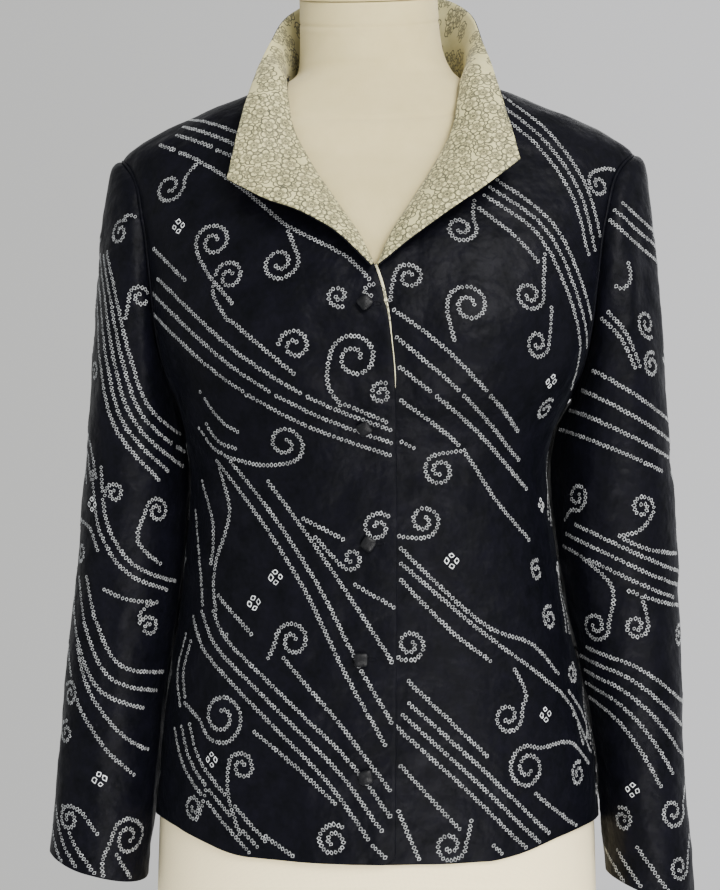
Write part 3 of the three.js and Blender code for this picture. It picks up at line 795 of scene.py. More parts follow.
@dataclass
class Rings:
    """The pale rings left in the dye where the silk was bound, raised a little as the bound points stay."""

    surface: Surface
    name: str
    seed: int
    pitch: float = 3.15
    across: float = 3.8
    along: float = 0.82  # a ring's length along its line, for every part of its breadth
    tone: float = 0.47
    breadths: Pair = (0.88, 1.1)  # the least and the greatest share of a ring's usual breadth
    tones: Pair = (0.66, 1.22)  # and of its usual brightness
    stray: float = 0.3
    ragged: float = 4.0  # how much shorter a line of a stream may be at each end
    closest: float = 2.5
    margin: float = 2.4
    cross_reach: float = 4.0
    cross_across: float = 5.6
    cross_tone: float = 1.1
    cross_closest: float = 4.3
    corners: int = 8
    kept: list[tuple[Array, ...]] = field(default_factory=list)  # rows, columns, headings, breadths, tones
    centres: Array = field(default_factory=lambda: np.zeros((0, 3)))

    def __post_init__(self) -> None:
        """Starts the generator that unevens the rings."""
        self.random = np.random.default_rng(self.seed)

    def keep(
        self, row: Array, column: Array, good: Array, heading: Array, size: float, tone: float, closest: float
    ) -> None:
        """Adds rings at the places that lie on the cloth and clear of those already there.

        Args:
            row: the places' rows.
            column: the places' columns.
            good: which of them may be used.
            heading: the angle of each ring's line on the cloth.
            size: the rings' breadth.
            tone: their brightness.
            closest: the least distance between two centres.
        """
        good = good & (self.surface.edge_gap(row, column) > self.margin)
        at = self.surface.at(row, column)
        if len(self.centres):
            gaps = np.linalg.norm(at[:, None] - self.centres[None], axis=2).min(1)
            good = good & (gaps > closest)
        breadths = size * self.random.uniform(*self.breadths, good.sum())
        tones = tone * self.random.uniform(*self.tones, good.sum())
        self.kept.append((row[good], column[good], heading[good], breadths, tones))
        self.centres = np.concatenate([self.centres, at[good]])

    def line(self, view: View, path: Array) -> None:
        """Sets rings at even distances along a curve.

        Args:
            view: the side the curve is drawn from.
            path: its control points as the view shows them.
        """
        count = max(24, int(np.ptp(path, axis=0).sum() / 1.5))
        fine = curve_through(path, np.linspace(0, 1, count))
        row, column, good = self.surface.find(view, fine)
        at = self.surface.at(row, column)
        step, seen_step = (np.linalg.norm(np.diff(points, axis=0), axis=1) for points in (at, fine))
        step = np.where(good[1:] & good[:-1], np.minimum(step, 12), seen_step)
        length = np.concatenate([[0], np.cumsum(step)])
        count = max(2, int(length[-1] / self.pitch))
        places = (np.arange(count) + 0.5) * length[-1] / count + self.random.uniform(-0.25, 0.25, count)
        seen = np.stack([np.interp(places, length, fine[:, k]) for k in (0, 1)], 1)
        seen = seen + self.random.uniform(-self.stray, self.stray, seen.shape)
        row, column, good = self.surface.find(view, seen)
        level, rising, _ = self.surface.frame_at(row, column)
        ahead = np.gradient(self.surface.at(row, column), axis=0)
        heading = np.arctan2((ahead * rising).sum(1), (ahead * level).sum(1))
        self.keep(row, column, good, heading, self.across, self.tone, self.closest)

    def stream(self, item: Stream) -> None:
        """Sets a stream's lines, each moved sideways from the curve, closer or wider towards its end.

        Args:
            item: the stream.
        """
        path = np.asarray(item.path, float)
        slope = unit(np.gradient(path, axis=0))
        sideways = np.stack([-slope[:, 1], slope[:, 0]], 1)
        share = np.linspace(0, 1, len(path))[:, None]
        for k in range(item.lines):
            offset = (k - (item.lines - 1) / 2) * item.gap * (1 + (item.fan - 1) * share)
            ends = self.random.uniform(0, self.ragged, 2)
            moved = path + sideways * offset
            moved[0] += slope[0] * ends[0]
            moved[-1] -= slope[-1] * ends[1]
            self.line(item.view, moved)

    def curl(self, item: Curl) -> None:
        """Sets a spiral whose radius shrinks evenly to a fifth, and its stem.

        Args:
            item: the curl.
        """
        centre = np.array([item.at], float)
        row, column, good = self.surface.find(item.view, centre)
        if not good[0]:
            return
        level, rising, _ = (v[0] for v in self.surface.frame_at(row, column))
        share = np.linspace(0, 1, 14)
        angle = math.radians(item.start) + 2 * math.pi * item.turns * share
        radius = item.radius * (1 - 0.8 * share)
        offsets = radius[:, None] * (np.cos(angle)[:, None] * level + np.sin(angle)[:, None] * rising)
        spiral = centre + offsets[:, item.view.axes]
        self.line(item.view, np.concatenate([np.array(item.stem, float).reshape(-1, 2), spiral]))

    def cross(self, item: Cross) -> None:
        """Sets four rings in a square that stands on its corner.

        Args:
            item: the group of four.
        """
        row, column, good = self.surface.find(item.view, np.array([item.at], float))
        angle = np.arange(4) * math.pi / 2 + self.random.uniform(-0.15, 0.25)
        right, rise = self.cross_reach * np.cos(angle)[None], self.cross_reach * np.sin(angle)[None]
        (row,), (column,) = self.surface.moved(row, column, right, rise)
        good = np.repeat(good, 4)
        self.keep(row, column, good, angle, self.cross_across, self.cross_tone, self.cross_closest)

    def build(self, items: Iterable[Item]) -> Piece:
        """Makes all of the rings as one mesh.

        A ring is an outer edge just under the cloth, a raised crest and an inner edge, each of eight corners
        on a square with round corners, so that it is one low rounded lip.

        Args:
            items: the pattern, of which the crosses are set first, then the curls and then the streams.

        Returns:
            The object.
        """
        makers = {Cross: self.cross, Curl: self.curl, Stream: self.stream}
        for item in sorted(items, key=lambda item: list(makers).index(type(item))):
            makers[type(item)](item)
        row, column, heading, size, tone = map(np.concatenate, zip(*self.kept))
        count, corners = len(row), self.corners
        turn = heading[:, None] + self.random.uniform(-0.3, 0.3, (count, 1))
        angle = around(corners)
        shape = 0.5 * size[:, None] * (0.96 + 0.1 * np.cos(4 * angle))
        shape = shape * (1 + 0.12 * self.random.uniform(-1, 1, (count, corners)))
        ahead, beside = self.along * shape * np.cos(angle), shape * np.sin(angle)
        right = ahead * np.cos(turn) - beside * np.sin(turn)
        rise = ahead * np.sin(turn) + beside * np.cos(turn)
        points, dye = [], []
        for reach, lift, share in RING_LEVELS:
            rows, columns = self.surface.moved(row, column, reach * right, reach * rise)
            points.append(self.surface.at(rows, columns, np.full(rows.shape, lift)))
            dye.append(np.full((count, corners), share))
        points, dye = np.stack(points, 1), np.stack(dye, 1)
        reach = np.linalg.norm(points - self.surface.at(row, column)[:, None, None], axis=-1).max((1, 2))
        whole = reach < 0.8 * size
        points, dye, tone, count = points[whole], dye[whole], tone[whole], int(whole.sum())
        k = np.arange(corners)
        n = (k + 1) % corners
        band = np.stack([k, n, n + corners, k + corners], 1)
        one = np.concatenate([band, band + corners])
        faces = (np.arange(count)[:, None, None] * 3 * corners + one).reshape(-1, 4)
        tones = np.repeat(tone, 3 * corners)
        log.info("%s: %d rings", self.name, count)
        return new_piece(self.name, points.reshape(-1, 3), [faces], dye=dye, tone=tones)


# ---- Finishes --------------------------------------------------------
class Graph:
    """Adds nodes to a node tree and joins them."""

    def __init__(self, tree: Tree) -> None:
        """Keeps the tree."""
        self.tree = tree

    def feed(self, node: Node, inputs: Inputs) -> None:
        """Sets a node's inputs, each to a value or to another node's result.

        Args:
            node: the node.
            inputs: values or sockets, by the input's name or number.
        """
        for key, value in inputs.items():
            if isinstance(value, Socket):
                self.tree.links.new(value, node.inputs[key])
            else:
                node.inputs[key].default_value = value

    def add(self, kind: str, inputs: Inputs | None = None, **settings: object) -> Node:
        """Adds one node.

        Args:
            kind: the node's type.
            inputs: what its inputs are set to.
            settings: the node's own settings.

        Returns:
            The node.
        """
        node = self.tree.nodes.new(kind)
        for key, value in settings.items():
            setattr(node, key, value)
        self.feed(node, inputs or {})
        return node

    def math(self, operation: str, *values: Value) -> Socket:
        """A Math node's result."""
        return self.add("ShaderNodeMath", dict(enumerate(values)), operation=operation).outputs[0]

    def times(self, a: Value, b: Value) -> Socket:
        """The product of two values."""
        return self.math("MULTIPLY", a, b)

    def plus(self, a: Value, b: Value) -> Socket:
        """The sum of two values."""
        return self.math("ADD", a, b)

    def minus(self, a: Value, b: Value) -> Socket:
        """The difference of two values."""
        return self.math("SUBTRACT", a, b)

    def most(self, a: Value, b: Value) -> Socket:
        """The larger of two values."""
        return self.math("MAXIMUM", a, b)

    def vector(self, operation: str, *values: Value) -> Node:
        """A Vector Math node."""
        return self.add("ShaderNodeVectorMath", dict(enumerate(values)), operation=operation)

    def scaled(self, vector: Socket, size: Socket) -> Socket:
        """A vector times a number.

        Args:
            vector: the vector.
            size: the number.

        Returns:
            Their product.
        """
        node = self.vector("SCALE", vector)
        self.feed(node, {"Scale": size})
        return node.outputs[0]

    def parts(self, vector: Socket) -> Sequence[Socket]:
        """A vector's x, y and z."""
        return self.add("ShaderNodeSeparateXYZ", {0: vector}).outputs

    def ramp(self, value: Value, low: Value, high: Value, to_low: float = 0, to_high: float = 1) -> Socket:
        """A smooth step of value from low to high, between two results."""
        inputs = {"Value": value, "From Min": low, "From Max": high, "To Min": to_low, "To Max": to_high}
        return self.add("ShaderNodeMapRange", inputs, interpolation_type="SMOOTHSTEP").outputs[0]

    def mix(self, share: Value, low: Value, high: Value) -> Socket:
        """A colour between two others."""
        return self.add("ShaderNodeMix", {0: share, 6: low, 7: high}, data_type="RGBA").outputs[2]

    def noise(self, vector: Socket, scale: Value, detail: float = 2.0) -> Socket:
        """Smooth noise from 0 to 1."""
        return self.add("ShaderNodeTexNoise", {"Vector": vector, "Scale": scale, "Detail": detail}).outputs[0]

    def place(self, kind: str = "Object") -> Socket:
        """Where a point is, as Object coordinates in metres or another kind, such as UV."""
        return self.add("ShaderNodeTexCoord").outputs[kind]

    def attribute(self, name: str) -> Socket:
        """A number that the mesh holds for each vertex."""
        return self.add("ShaderNodeAttribute", attribute_name=name).outputs["Fac"]

    def group(self, name: str, **inputs: Value) -> Node:
        """A placed node group."""
        return self.add("ShaderNodeGroup", inputs, node_tree=bpy.data.node_groups[name])

    def clouds(self, size: float, contrast: float) -> Socket:
        """Slow changes over the whole object, from 0 to 1."""
        return self.group("dye clouds", Vector=self.place(), Size=size, Contrast=contrast).outputs[0]

    def threads(self, count: float, satin: float) -> Socket:
        """The height of a weave with so many threads to a metre, more or less; satin shows more warp."""
        return self.group("thread weave", Vector=self.place("UV"), Threads=count, Float=satin).outputs[0]

    def bump(self, height: Socket, strength: float, distance: float, under: Socket | None = None) -> Socket:
        """The normal that a height gives, over another bump or none.

        Args:
            height: the height.
            strength: how strong the bump is, up to 1.
            distance: what a height of 1 stands for, in metres.
            under: the bump below it.

        Returns:
            The normal.
        """
        node = self.add("ShaderNodeBump", {"Strength": strength, "Distance": distance, "Height": height})
        if under is not None:
            self.feed(node, {"Normal": under})
        return node.outputs[0]


def new_group(name: str, inputs: str, outputs: str, build: Callable[..., Sequence[Socket]]) -> None:
    """Makes a shader node group, in which Vector is a vector and every other socket is a number.

    Args:
        name: the group's name.
        inputs: the names of its inputs.
        outputs: the names of its results.
        build: works out the results from the group's graph and its inputs.
    """
    tree = bpy.data.node_groups.new(name, "ShaderNodeTree")
    for names, direction in ((inputs, "INPUT"), (outputs, "OUTPUT")):
        for key in names.split():
            kind = "NodeSocketVector" if key == "Vector" else "NodeSocketFloat"
            tree.interface.new_socket(key, in_out=direction, socket_type=kind)
    graph = Graph(tree)
    given = graph.add("NodeGroupInput").outputs
    results = build(graph, *(given[key] for key in inputs.split()))
    graph.feed(graph.add("NodeGroupOutput"), dict(zip(outputs.split(), results)))


def weave(g: Graph, vector: Socket, threads: Socket, satin: Socket) -> Sequence[Socket]:
    """Warp and weft: two sets of round threads that pass over each other in turn, as a height.

    Warp over weft is a chequer of half a thread's pitch, and satin makes the warp show more.

    Args:
        g: the group's graph.
        vector: the place on the cloth.
        threads: how close the threads are.
        satin: how much more the warp shows.

    Returns:
        The height.
    """
    x, y, _ = g.parts(g.scaled(vector, threads))
    warp, weft = g.math("SINE", x), g.math("SINE", y)
    share = g.ramp(g.plus(g.times(warp, weft), satin), -0.25, 0.25)
    heights = {0: share, 2: g.math("ABSOLUTE", weft), 3: g.math("ABSOLUTE", warp)}
    return (g.add("ShaderNodeMix", heights, data_type="FLOAT").outputs[0],)


def dye_clouds(g: Graph, vector: Socket, size: Socket, contrast: Socket) -> Sequence[Socket]:
    """Two sizes of noise added up, for slow changes of colour or roughness.

    Args:
        g: the group's graph.
        vector: the place.
        size: how close the broad clouds are.
        contrast: how much they differ.

    Returns:
        A share from 0 to 1.
    """
    broad, fine = g.noise(vector, size), g.noise(vector, g.times(size, 4.3), 3.0)
    both = g.plus(g.times(broad, 0.6), g.times(fine, 0.4))
    spread = g.times(g.minus(both, 0.5), contrast)
    return (g.add("ShaderNodeClamp", {0: g.plus(spread, 0.5)}).outputs[0],)


def blossom(g: Graph, vector: Socket, cells: Socket, line: Socket, density: Socket) -> Sequence[Socket]:
    """Outlines of five-petalled flowers, one in each cell of a loose net.

    A cell's own coordinates are turned by its own angle and folded five times round. A petal is a disc whose
    middle stands off the flower's heart, and the outline is its rim outside the heart. Stamens are three
    short lines in each petal.

    Args:
        g: the group's graph.
        vector: the place on the cloth.
        cells: how close the cells are.
        line: the lines' breadth.
        density: the share of the cells that have a flower.

    Returns:
        How much ink there is, and 1 wherever a flower covers the cloth.
    """
    scaled = g.scaled(vector, cells)
    net = {"Vector": scaled, "Scale": 1.0, "Randomness": 0.55}
    cell = g.add("ShaderNodeTexVoronoi", net, voronoi_dimensions="2D").outputs
    local = g.vector("SUBTRACT", scaled, cell["Position"]).outputs[0]
    x, y, _ = g.parts(local)
    turn, breadth, chance = g.add("ShaderNodeSeparateColor", {0: cell["Color"]}).outputs
    length = g.vector("LENGTH", local).outputs["Value"]
    reach = g.math("DIVIDE", length, g.plus(0.88, g.times(breadth, 0.2)))
    angle = g.plus(g.math("ARCTAN2", y, x), g.times(turn, 2 * math.pi))

    def folded(times: int) -> Socket:
        """The angle folded a number of times round, from the middle of each fold."""
        step = 2 * math.pi / times
        return g.minus(g.math("FLOORED_MODULO", angle, step), step / 2)

    def stroke(distance: Socket, target: float) -> Socket:
        """1 where a distance is within a line's breadth of its target."""
        off = g.math("ABSOLUTE", g.minus(distance, target))
        return g.ramp(off, g.times(line, 0.5), line, 1.0, 0.0)

    petal_x = g.minus(g.times(reach, g.math("COSINE", folded(5))), 0.28)
    petal_y = g.times(reach, g.math("SINE", folded(5)))
    petal = g.math("SQRT", g.plus(g.times(petal_x, petal_x), g.times(petal_y, petal_y)))
    outer = g.times(stroke(petal, 0.19), g.ramp(reach, 0.13, 0.17))
    stamen = stroke(g.times(reach, g.math("SINE", folded(15))), 0.0)
    shown = g.times(g.ramp(reach, 0.1, 0.13), g.ramp(reach, 0.3, 0.26))
    lines = g.most(outer, g.times(stamen, g.times(shown, 0.8)))
    there = g.math("LESS_THAN", chance, density)
    cover = g.most(g.math("LESS_THAN", petal, 0.2), g.math("LESS_THAN", reach, 0.2))
    return g.times(g.most(lines, stroke(reach, 0.05)), there), g.times(cover, there)


@dataclass(frozen=True)
class Finish:
    """What every finish shares: a Principled shader with its constants set on its own sockets."""

    name: str
    slot: str
    rough: float

    def looks(self, g: Graph) -> Inputs:
        """What the shader's inputs are set to, worked out in the material's graph."""
        raise NotImplementedError

    def make(self) -> bpy.types.Material:
        """Builds the material and returns it.

        Returns:
            The material.
        """
        material = bpy.data.materials.new(self.name)
        material.use_nodes = True
        graph = Graph(material.node_tree)
        shader = material.node_tree.nodes["Principled BSDF"]
        shader.inputs["Roughness"].default_value = self.rough
        graph.feed(shader, self.looks(graph))
        return material

    def put(self, piece: Piece, material: bpy.types.Material) -> None:
        """Gives a piece its material.

        Args:
            piece: the piece.
            material: its material.
        """
        piece.data.materials.clear()
        piece.data.materials.append(material)


@dataclass(frozen=True)
class Satin(Finish):
    """Black silk satin: cool black with slow dye clouds, fine warp threads, small creases, a soft sheen."""

    dark: Colour = (0.0006, 0.0008, 0.0013, 1)
    light: Colour = (0.0029, 0.0029, 0.0053, 1)
    gloss: float = 0.045

    def looks(self, g: Graph) -> Inputs:
        """Clouds change the colour and the roughness, and the weave lies over the creases.

        Args:
            g: the material's graph.

        Returns:
            The shader's inputs.
        """
        tone = g.clouds(size=60.0, contrast=2.4)
        creases = g.bump(g.noise(g.place(), 62.0, 2.5), strength=0.8, distance=0.003)
        return {
            "Base Color": g.mix(tone, self.dark, self.light),
            "Roughness": g.ramp(tone, 0.0, 1.0, self.rough + 0.05, self.rough - 0.06),
            "Normal": g.bump(g.threads(5200.0, satin=0.45), strength=0.25, distance=0.0001, under=creases),
            "Specular IOR Level": self.gloss,
            "Sheen Weight": 0.01,
            "Sheen Roughness": 0.4,
            "Sheen Tint": (0.75, 0.82, 1.0, 1),
        }


@dataclass(frozen=True)
class TiedRing(Finish):
    """The silk of a bound point: pale at the crest, where no dye reached, and black at its edges."""

    pale: Colour = (0.6, 0.62, 0.63, 1)
    dark: Colour = (0.002, 0.0022, 0.003, 1)

    def looks(self, g: Graph) -> Inputs:
        """The dye's edge is uneven, and each ring has its own tone.

        Args:
            g: the material's graph.

        Returns:
            The shader's inputs.
        """
        fleck = g.clouds(size=420.0, contrast=2.0)
        edge = g.ramp(g.plus(g.attribute("dye"), g.times(g.minus(fleck, 0.5), 0.45)), 0.3, 0.72)
        amount = g.times(edge, g.times(g.attribute("tone"), g.ramp(fleck, 0.0, 1.0, 0.75, 1.1)))
        grain = g.bump(g.noise(g.place(), 1500.0), strength=0.3, distance=0.0002)
        return {"Base Color": g.mix(amount, self.dark, self.pale), "Normal": grain}


@dataclass(frozen=True)
class PrintedSilk(Finish):
    """Cream silk with fine outlines of flowers, closer together on the lower leaves than round the neck."""

    ground: Colour = (0.41, 0.375, 0.17, 1)
    faded: Colour = (0.5, 0.455, 0.235, 1)
    ink: Colour = (0.03, 0.03, 0.014, 1)
    flowers: float = 1.05

    def looks(self, g: Graph) -> Inputs:
        """Three nets of flowers, each shown where the ones before it leave the cloth bare.

        Args:
            g: the material's graph.

        Returns:
            The shader's inputs.
        """
        density = g.ramp(g.parts(g.place())[2], 1.255, 1.3, self.flowers, 0.35 * self.flowers)
        ink: Value = 0.0
        bare: Value = 1.0
        for cells, shift, turn in ((68.0, 0.0, 0.0), (74.0, 0.0071, 0.7), (70.0, 0.0127, 1.9)):
            placed = {"Vector": g.place("UV"), "Location": (shift, 0.7 * shift, 0), "Rotation": (0, 0, turn)}
            vector = g.add("ShaderNodeMapping", placed).outputs[0]
            net = g.group("flower outlines", Vector=vector, Cells=cells, Line=0.05, Density=density).outputs
            ink = g.most(ink, g.times(net["Ink"], bare))
            bare = g.times(bare, g.minus(1.0, net["Cover"]))
        worn = g.clouds(size=90.0, contrast=2.2)
        ink = g.times(ink, g.ramp(worn, 0.0, 1.0, 1.0, 0.82))
        soft = g.bump(g.noise(g.place(), 90.0, 3.0), strength=0.25, distance=0.0012)
        return {
            "Base Color": g.mix(ink, g.mix(worn, self.ground, self.faded), self.ink),
            "Normal": g.bump(g.threads(4200.0, satin=0.1), strength=0.3, distance=0.00012, under=soft),
            "Sheen Weight": 0.1,
        }


@dataclass(frozen=True)
class Linen(Finish):
    """Ecru linen canvas: a plain weave of slightly uneven threads, painted lighter below the waist and darker
    above it as light and shade.
    """

    ground: Colour = (0.46, 0.38, 0.175, 1)
    light: Colour = (0.56, 0.475, 0.245, 1)
    # painted light: the paler colour of the form below the waist stands in for the light on the hips
    painted_light_below: Colour = (0.9, 0.77, 0.46, 1)
    gap: Colour = (0.2852, 0.2356, 0.1085, 1)

    def looks(self, g: Graph) -> Inputs:
        """Slow tones over the cloth, a paler colour low down that is painted light, and dark gaps between the
        threads.

        Args:
            g: the material's graph.

        Returns:
            The shader's inputs.
        """
        threads = g.threads(3400.0, satin=0.0)
        upper_tone = g.mix(g.clouds(size=22.0, contrast=1.6), self.ground, self.light)
        # painted light and shade: paler low down where the hips are lit, darker above the waist where the
        # chest and neck lie in shade
        colour = g.mix(g.ramp(g.parts(g.place())[2], 0.7, 1.0), self.painted_light_below, upper_tone)
        return {
            "Base Color": g.mix(g.ramp(threads, 0.0, 0.7, 0.55, 0.0), colour, self.gap),
            "Normal": g.bump(threads, strength=0.5, distance=0.0003),
            "Sheen Weight": 0.15,
        }


@dataclass(frozen=True)
class Enamel(Finish):
    """Stone-grey enamel on steel, with a fine orange-peel surface and duller scuffs."""

    colour: Colour = (0.47, 0.44, 0.38, 1)
    scuffed: Colour = (0.38, 0.36, 0.31, 1)

    def looks(self, g: Graph) -> Inputs:
        """Wear dulls the colour and the gloss.

        Args:
            g: the material's graph.

        Returns:
            The shader's inputs.
        """
        wear = g.clouds(size=14.0, contrast=2.4)
        return {
            "Base Color": g.mix(wear, self.colour, self.scuffed),
            "Roughness": g.ramp(wear, 0.0, 1.0, self.rough, self.rough + 0.18),
            "Normal": g.bump(g.noise(g.place(), 500.0, 1.0), strength=0.12, distance=0.0003),
        }


class Finishes:
    """All of the object's materials, built once."""

    def __init__(self) -> None:
        """Builds the shared groups and then each material."""
        new_group("thread weave", "Vector Threads Float", "Height", weave)
        new_group("dye clouds", "Vector Size Contrast", "Share", dye_clouds)
        new_group("flower outlines", "Vector Cells Line Density", "Ink Cover", blossom)
        black, cream = "silk_satin_black", "collar_silk_cream"
        button = (0.0012, 0.0013, 0.0018, 1), (0.0034, 0.0036, 0.0046, 1)
        plain = (0.6, 0.56, 0.34, 1), (0.68, 0.64, 0.42, 1)
        self.looks: dict[str, Finish] = {
            "satin": Satin("black silk satin", black, 0.46),
            "button": Satin("button satin", black, 0.38, *button, gloss=0.17),
            "ring": TiedRing("tied ring", black, 0.7),
            "print": PrintedSilk("printed cream silk", cream, 0.62),
            "facing": PrintedSilk("facing silk", cream, 0.62, *plain, flowers=0.3),
            "linen": Linen("ecru linen", "form_linen", 0.85),
            "enamel": Enamel("stone enamel", "form_enamel", 0.38),
        }
        self.made = {key: finish.make() for key, finish in self.looks.items()}

    def dress(self, piece: Piece, key: str) -> None:
        """Gives a piece one of the finishes."""
        self.looks[key].put(piece, self.made[key])


def seat(piece: Piece, finishes: Finishes, key: str) -> None:
    """Gives a piece its finish and its body, and reports it.

    Args:
        piece: the piece.
        finishes: the object's materials.
        key: the finish's name.
    """
    finishes.dress(piece, key)
    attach(piece, "root")
    log.info("%s: %d vertices", piece.name, len(piece.data.vertices))


# ---- The jacket's panels ---------------------------------------------
def panel_rows() -> tuple[Array, Array]:
    """The heights of a panel's rows from hem to neck, and the turn of the armhole that each row meets.

    Returns:
        The heights and the turns.
    """
    hem = HEM_Z + np.array([0, 0.4, 1.2, 2.4, 4.0, 6.2, 9.0])
    side = np.linspace(hem[-1], UNDERARM_Z, 102)[1:-1]
    turns = np.linspace(math.pi, 0, 80)
    shoulder = np.linspace(SHOULDER_Z, NECK_Z, 19)[1:]
    z = np.concatenate([hem, side, BODY.armhole(turns)[1], shoulder])
    turn = np.concatenate([np.full(len(hem) + len(side), math.pi), turns, 0 * shoulder])
    return z, turn


def outer_edge_y(z: Array, turn: Array, half: int) -> Array:
    """The y of a panel's outer edge: its side seam, then its half of the armhole, then the shoulder seam."""
    side_seam = BODY.side_seam_back * (1 - (z - HEM_Z) / (UNDERARM_Z - HEM_Z))
    return np.where(z < UNDERARM_Z, side_seam, BODY.armhole(half * turn)[0])


def edge_shares(columns: int) -> Array:
    """Shares of the way across a panel, even but for two more columns close to each edge."""
    middle = np.arange(1, columns)
    return np.concatenate([[0, 0.22, 0.55], middle, [columns - 0.55, columns - 0.22, columns]]) / columns


@dataclass
class ClothPiece:
    """One cut piece of the jacket's silk, with its folds and its pattern of rings."""

    name: str
    node: str
    flat: Pair
    area: float
    seed: int
    folds: tuple[Fold, ...]
    pattern: tuple[Item, ...]
    wrap: bool = False

    def ground(self) -> Array:
        """The grid of the cloth's outer face before it is folded."""
        raise NotImplementedError

    def seams(self, flat: Array) -> Array:
        """How the seams move each vertex out.

        Args:
            flat: each vertex's lengths across and up the cloth.

        Returns:
            One number for each vertex.
        """
        raise NotImplementedError

    def nodes(self) -> tuple[str, ...]:
        """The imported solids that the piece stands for."""
        return (self.node,)

    def build(self, finishes: Finishes) -> Surface:
        """Makes the cloth and its rings.

        Args:
            finishes: the object's materials.

        Returns:
            The folded cloth's outer face.
        """
        ground = Surface(self.ground(), self.wrap)
        coordinates = cloth_coordinates(ground.points, self.wrap)
        relief = crinkle(ground.points, 0.4) + self.seams(coordinates[:, : ground.columns])
        for fold in self.folds:
            relief = relief + fold.relief(ground)
        cloth = Surface(ground.points + ground.normals * relief[..., None], self.wrap)
        inner = cloth.points - cloth.normals * CLOTH
        piece = shell(self.name, cloth.points, inner, self.wrap, coordinates)
        seat(piece, finishes, "satin")
        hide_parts(*self.nodes())
        rings = Rings(cloth, "rings_" + self.name, self.seed).build(self.pattern)
        seat(rings, finishes, "ring")
        return cloth


@dataclass
class Front(ClothPiece):
    """A front, from its side seam to its front edge."""

    side: Side = Side.RIGHT
    corner: float = 9.0

    def ground(self) -> Array:
        """The body's surface between the side seam, armhole and shoulder and the front edge or neckline.

        The right front's edge pulls in round its lower corner and is lifted to lap over the left front.

        Returns:
            The surface's rows.
        """
        z, turn = panel_rows()
        side = BODY.side_angle(self.side, outer_edge_y(z, turn, 1), z)
        inset = SEAM / SECTIONS.at(self.side.word, z)
        if self.side is Side.RIGHT:
            side = np.where(side > 0, side - 2 * math.pi, side)
            above = np.minimum(z - HEM_Z, self.corner)
            cut = self.corner - np.sqrt(self.corner**2 - (self.corner - above) ** 2)
            first, last = side + inset, BODY.front_angle(FRONT_EDGES.at("right", z) - cut, z)
        else:
            first, last = BODY.front_angle(FRONT_EDGES.at("left", z), z), side - inset
        angle = first[:, None] + (last - first)[:, None] * edge_shares(78)
        heights = np.broadcast_to(z[:, None], angle.shape)
        heights = heights + hem_rise(BODY.plain(angle, heights)[..., 0], heights)
        if self.side is Side.LEFT:
            return BODY.point(angle, heights)
        return BODY.point(angle, heights, lap_lift(BODY.plain(angle, heights)[..., 0], heights))

    def seams(self, flat: Array) -> Array:
        """A seam at the outer edge, and a soft roll at the front edge.

        Args:
            flat: each vertex's two lengths on the cloth.

        Returns:
            How far each vertex moves out.
        """
        outer, inner = (0, -1) if self.side is Side.RIGHT else (-1, 0)
        gap = np.abs(flat[..., 0] - flat[:, [outer], 0])
        roll = np.abs(flat[..., 0] - flat[:, [inner], 0])
        return seam_relief(gap, flat[..., 1]) - 0.45 * np.exp(-((roll / 1.4) ** 2))


@dataclass
class Back(ClothPiece):
    """The back, in one piece from side seam to side seam."""

    def ground(self) -> Array:
        """The body's surface behind the side seams, armholes and shoulder seams.

        Returns:
            The surface's rows.
        """
        z, turn = panel_rows()
        edge = outer_edge_y(z, turn, -1)
        first = BODY.side_angle(Side.LEFT, edge, z) + SEAM / SECTIONS.at("left", z)
        last = BODY.side_angle(Side.RIGHT, edge, z) - SEAM / SECTIONS.at("right", z)
        angle = first[:, None] + (last - first)[:, None] * edge_shares(140)
        heights = np.broadcast_to(z[:, None], angle.shape)
        return BODY.point(angle, heights + hem_rise(BODY.plain(angle, heights)[..., 0], heights))

    def seams(self, flat: Array) -> Array:
        """A seam at each outer edge.

        Args:
            flat: each vertex's two lengths on the cloth.

        Returns:
            How far each vertex moves out.
        """
        left = np.abs(flat[..., 0] - flat[:, [0], 0])
        right = np.abs(flat[..., 0] - flat[:, [-1], 0])
        return seam_relief(left, flat[..., 1]) + seam_relief(right, flat[..., 1] + 40)


# ---- The sleeves -----------------------------------------------------
SLEEVE_TUBES = {
    Side.RIGHT: Profile("""
z inner outer y depth
1000 153.5 235 -2 63
950 154 239 -4 60
907 157 242 -6 57
858 163 247 -9 54
810 170 251 -13 51
750 177 255 -17 48
700 182 258.5 -21 46
664 183.5 261 -24 45
""", ease=6),
    Side.LEFT: Profile("""
z inner outer y depth
1000 149 236 -2 61
950 147 240 -4 58
907 149.5 242 -6 55
858 158.5 243.3 -9 53
810 169 244.2 -13 51
750 179 245.5 -17 48
700 182.5 250 -21 46
655 183 253.5 -24 45
""", ease=6),
}


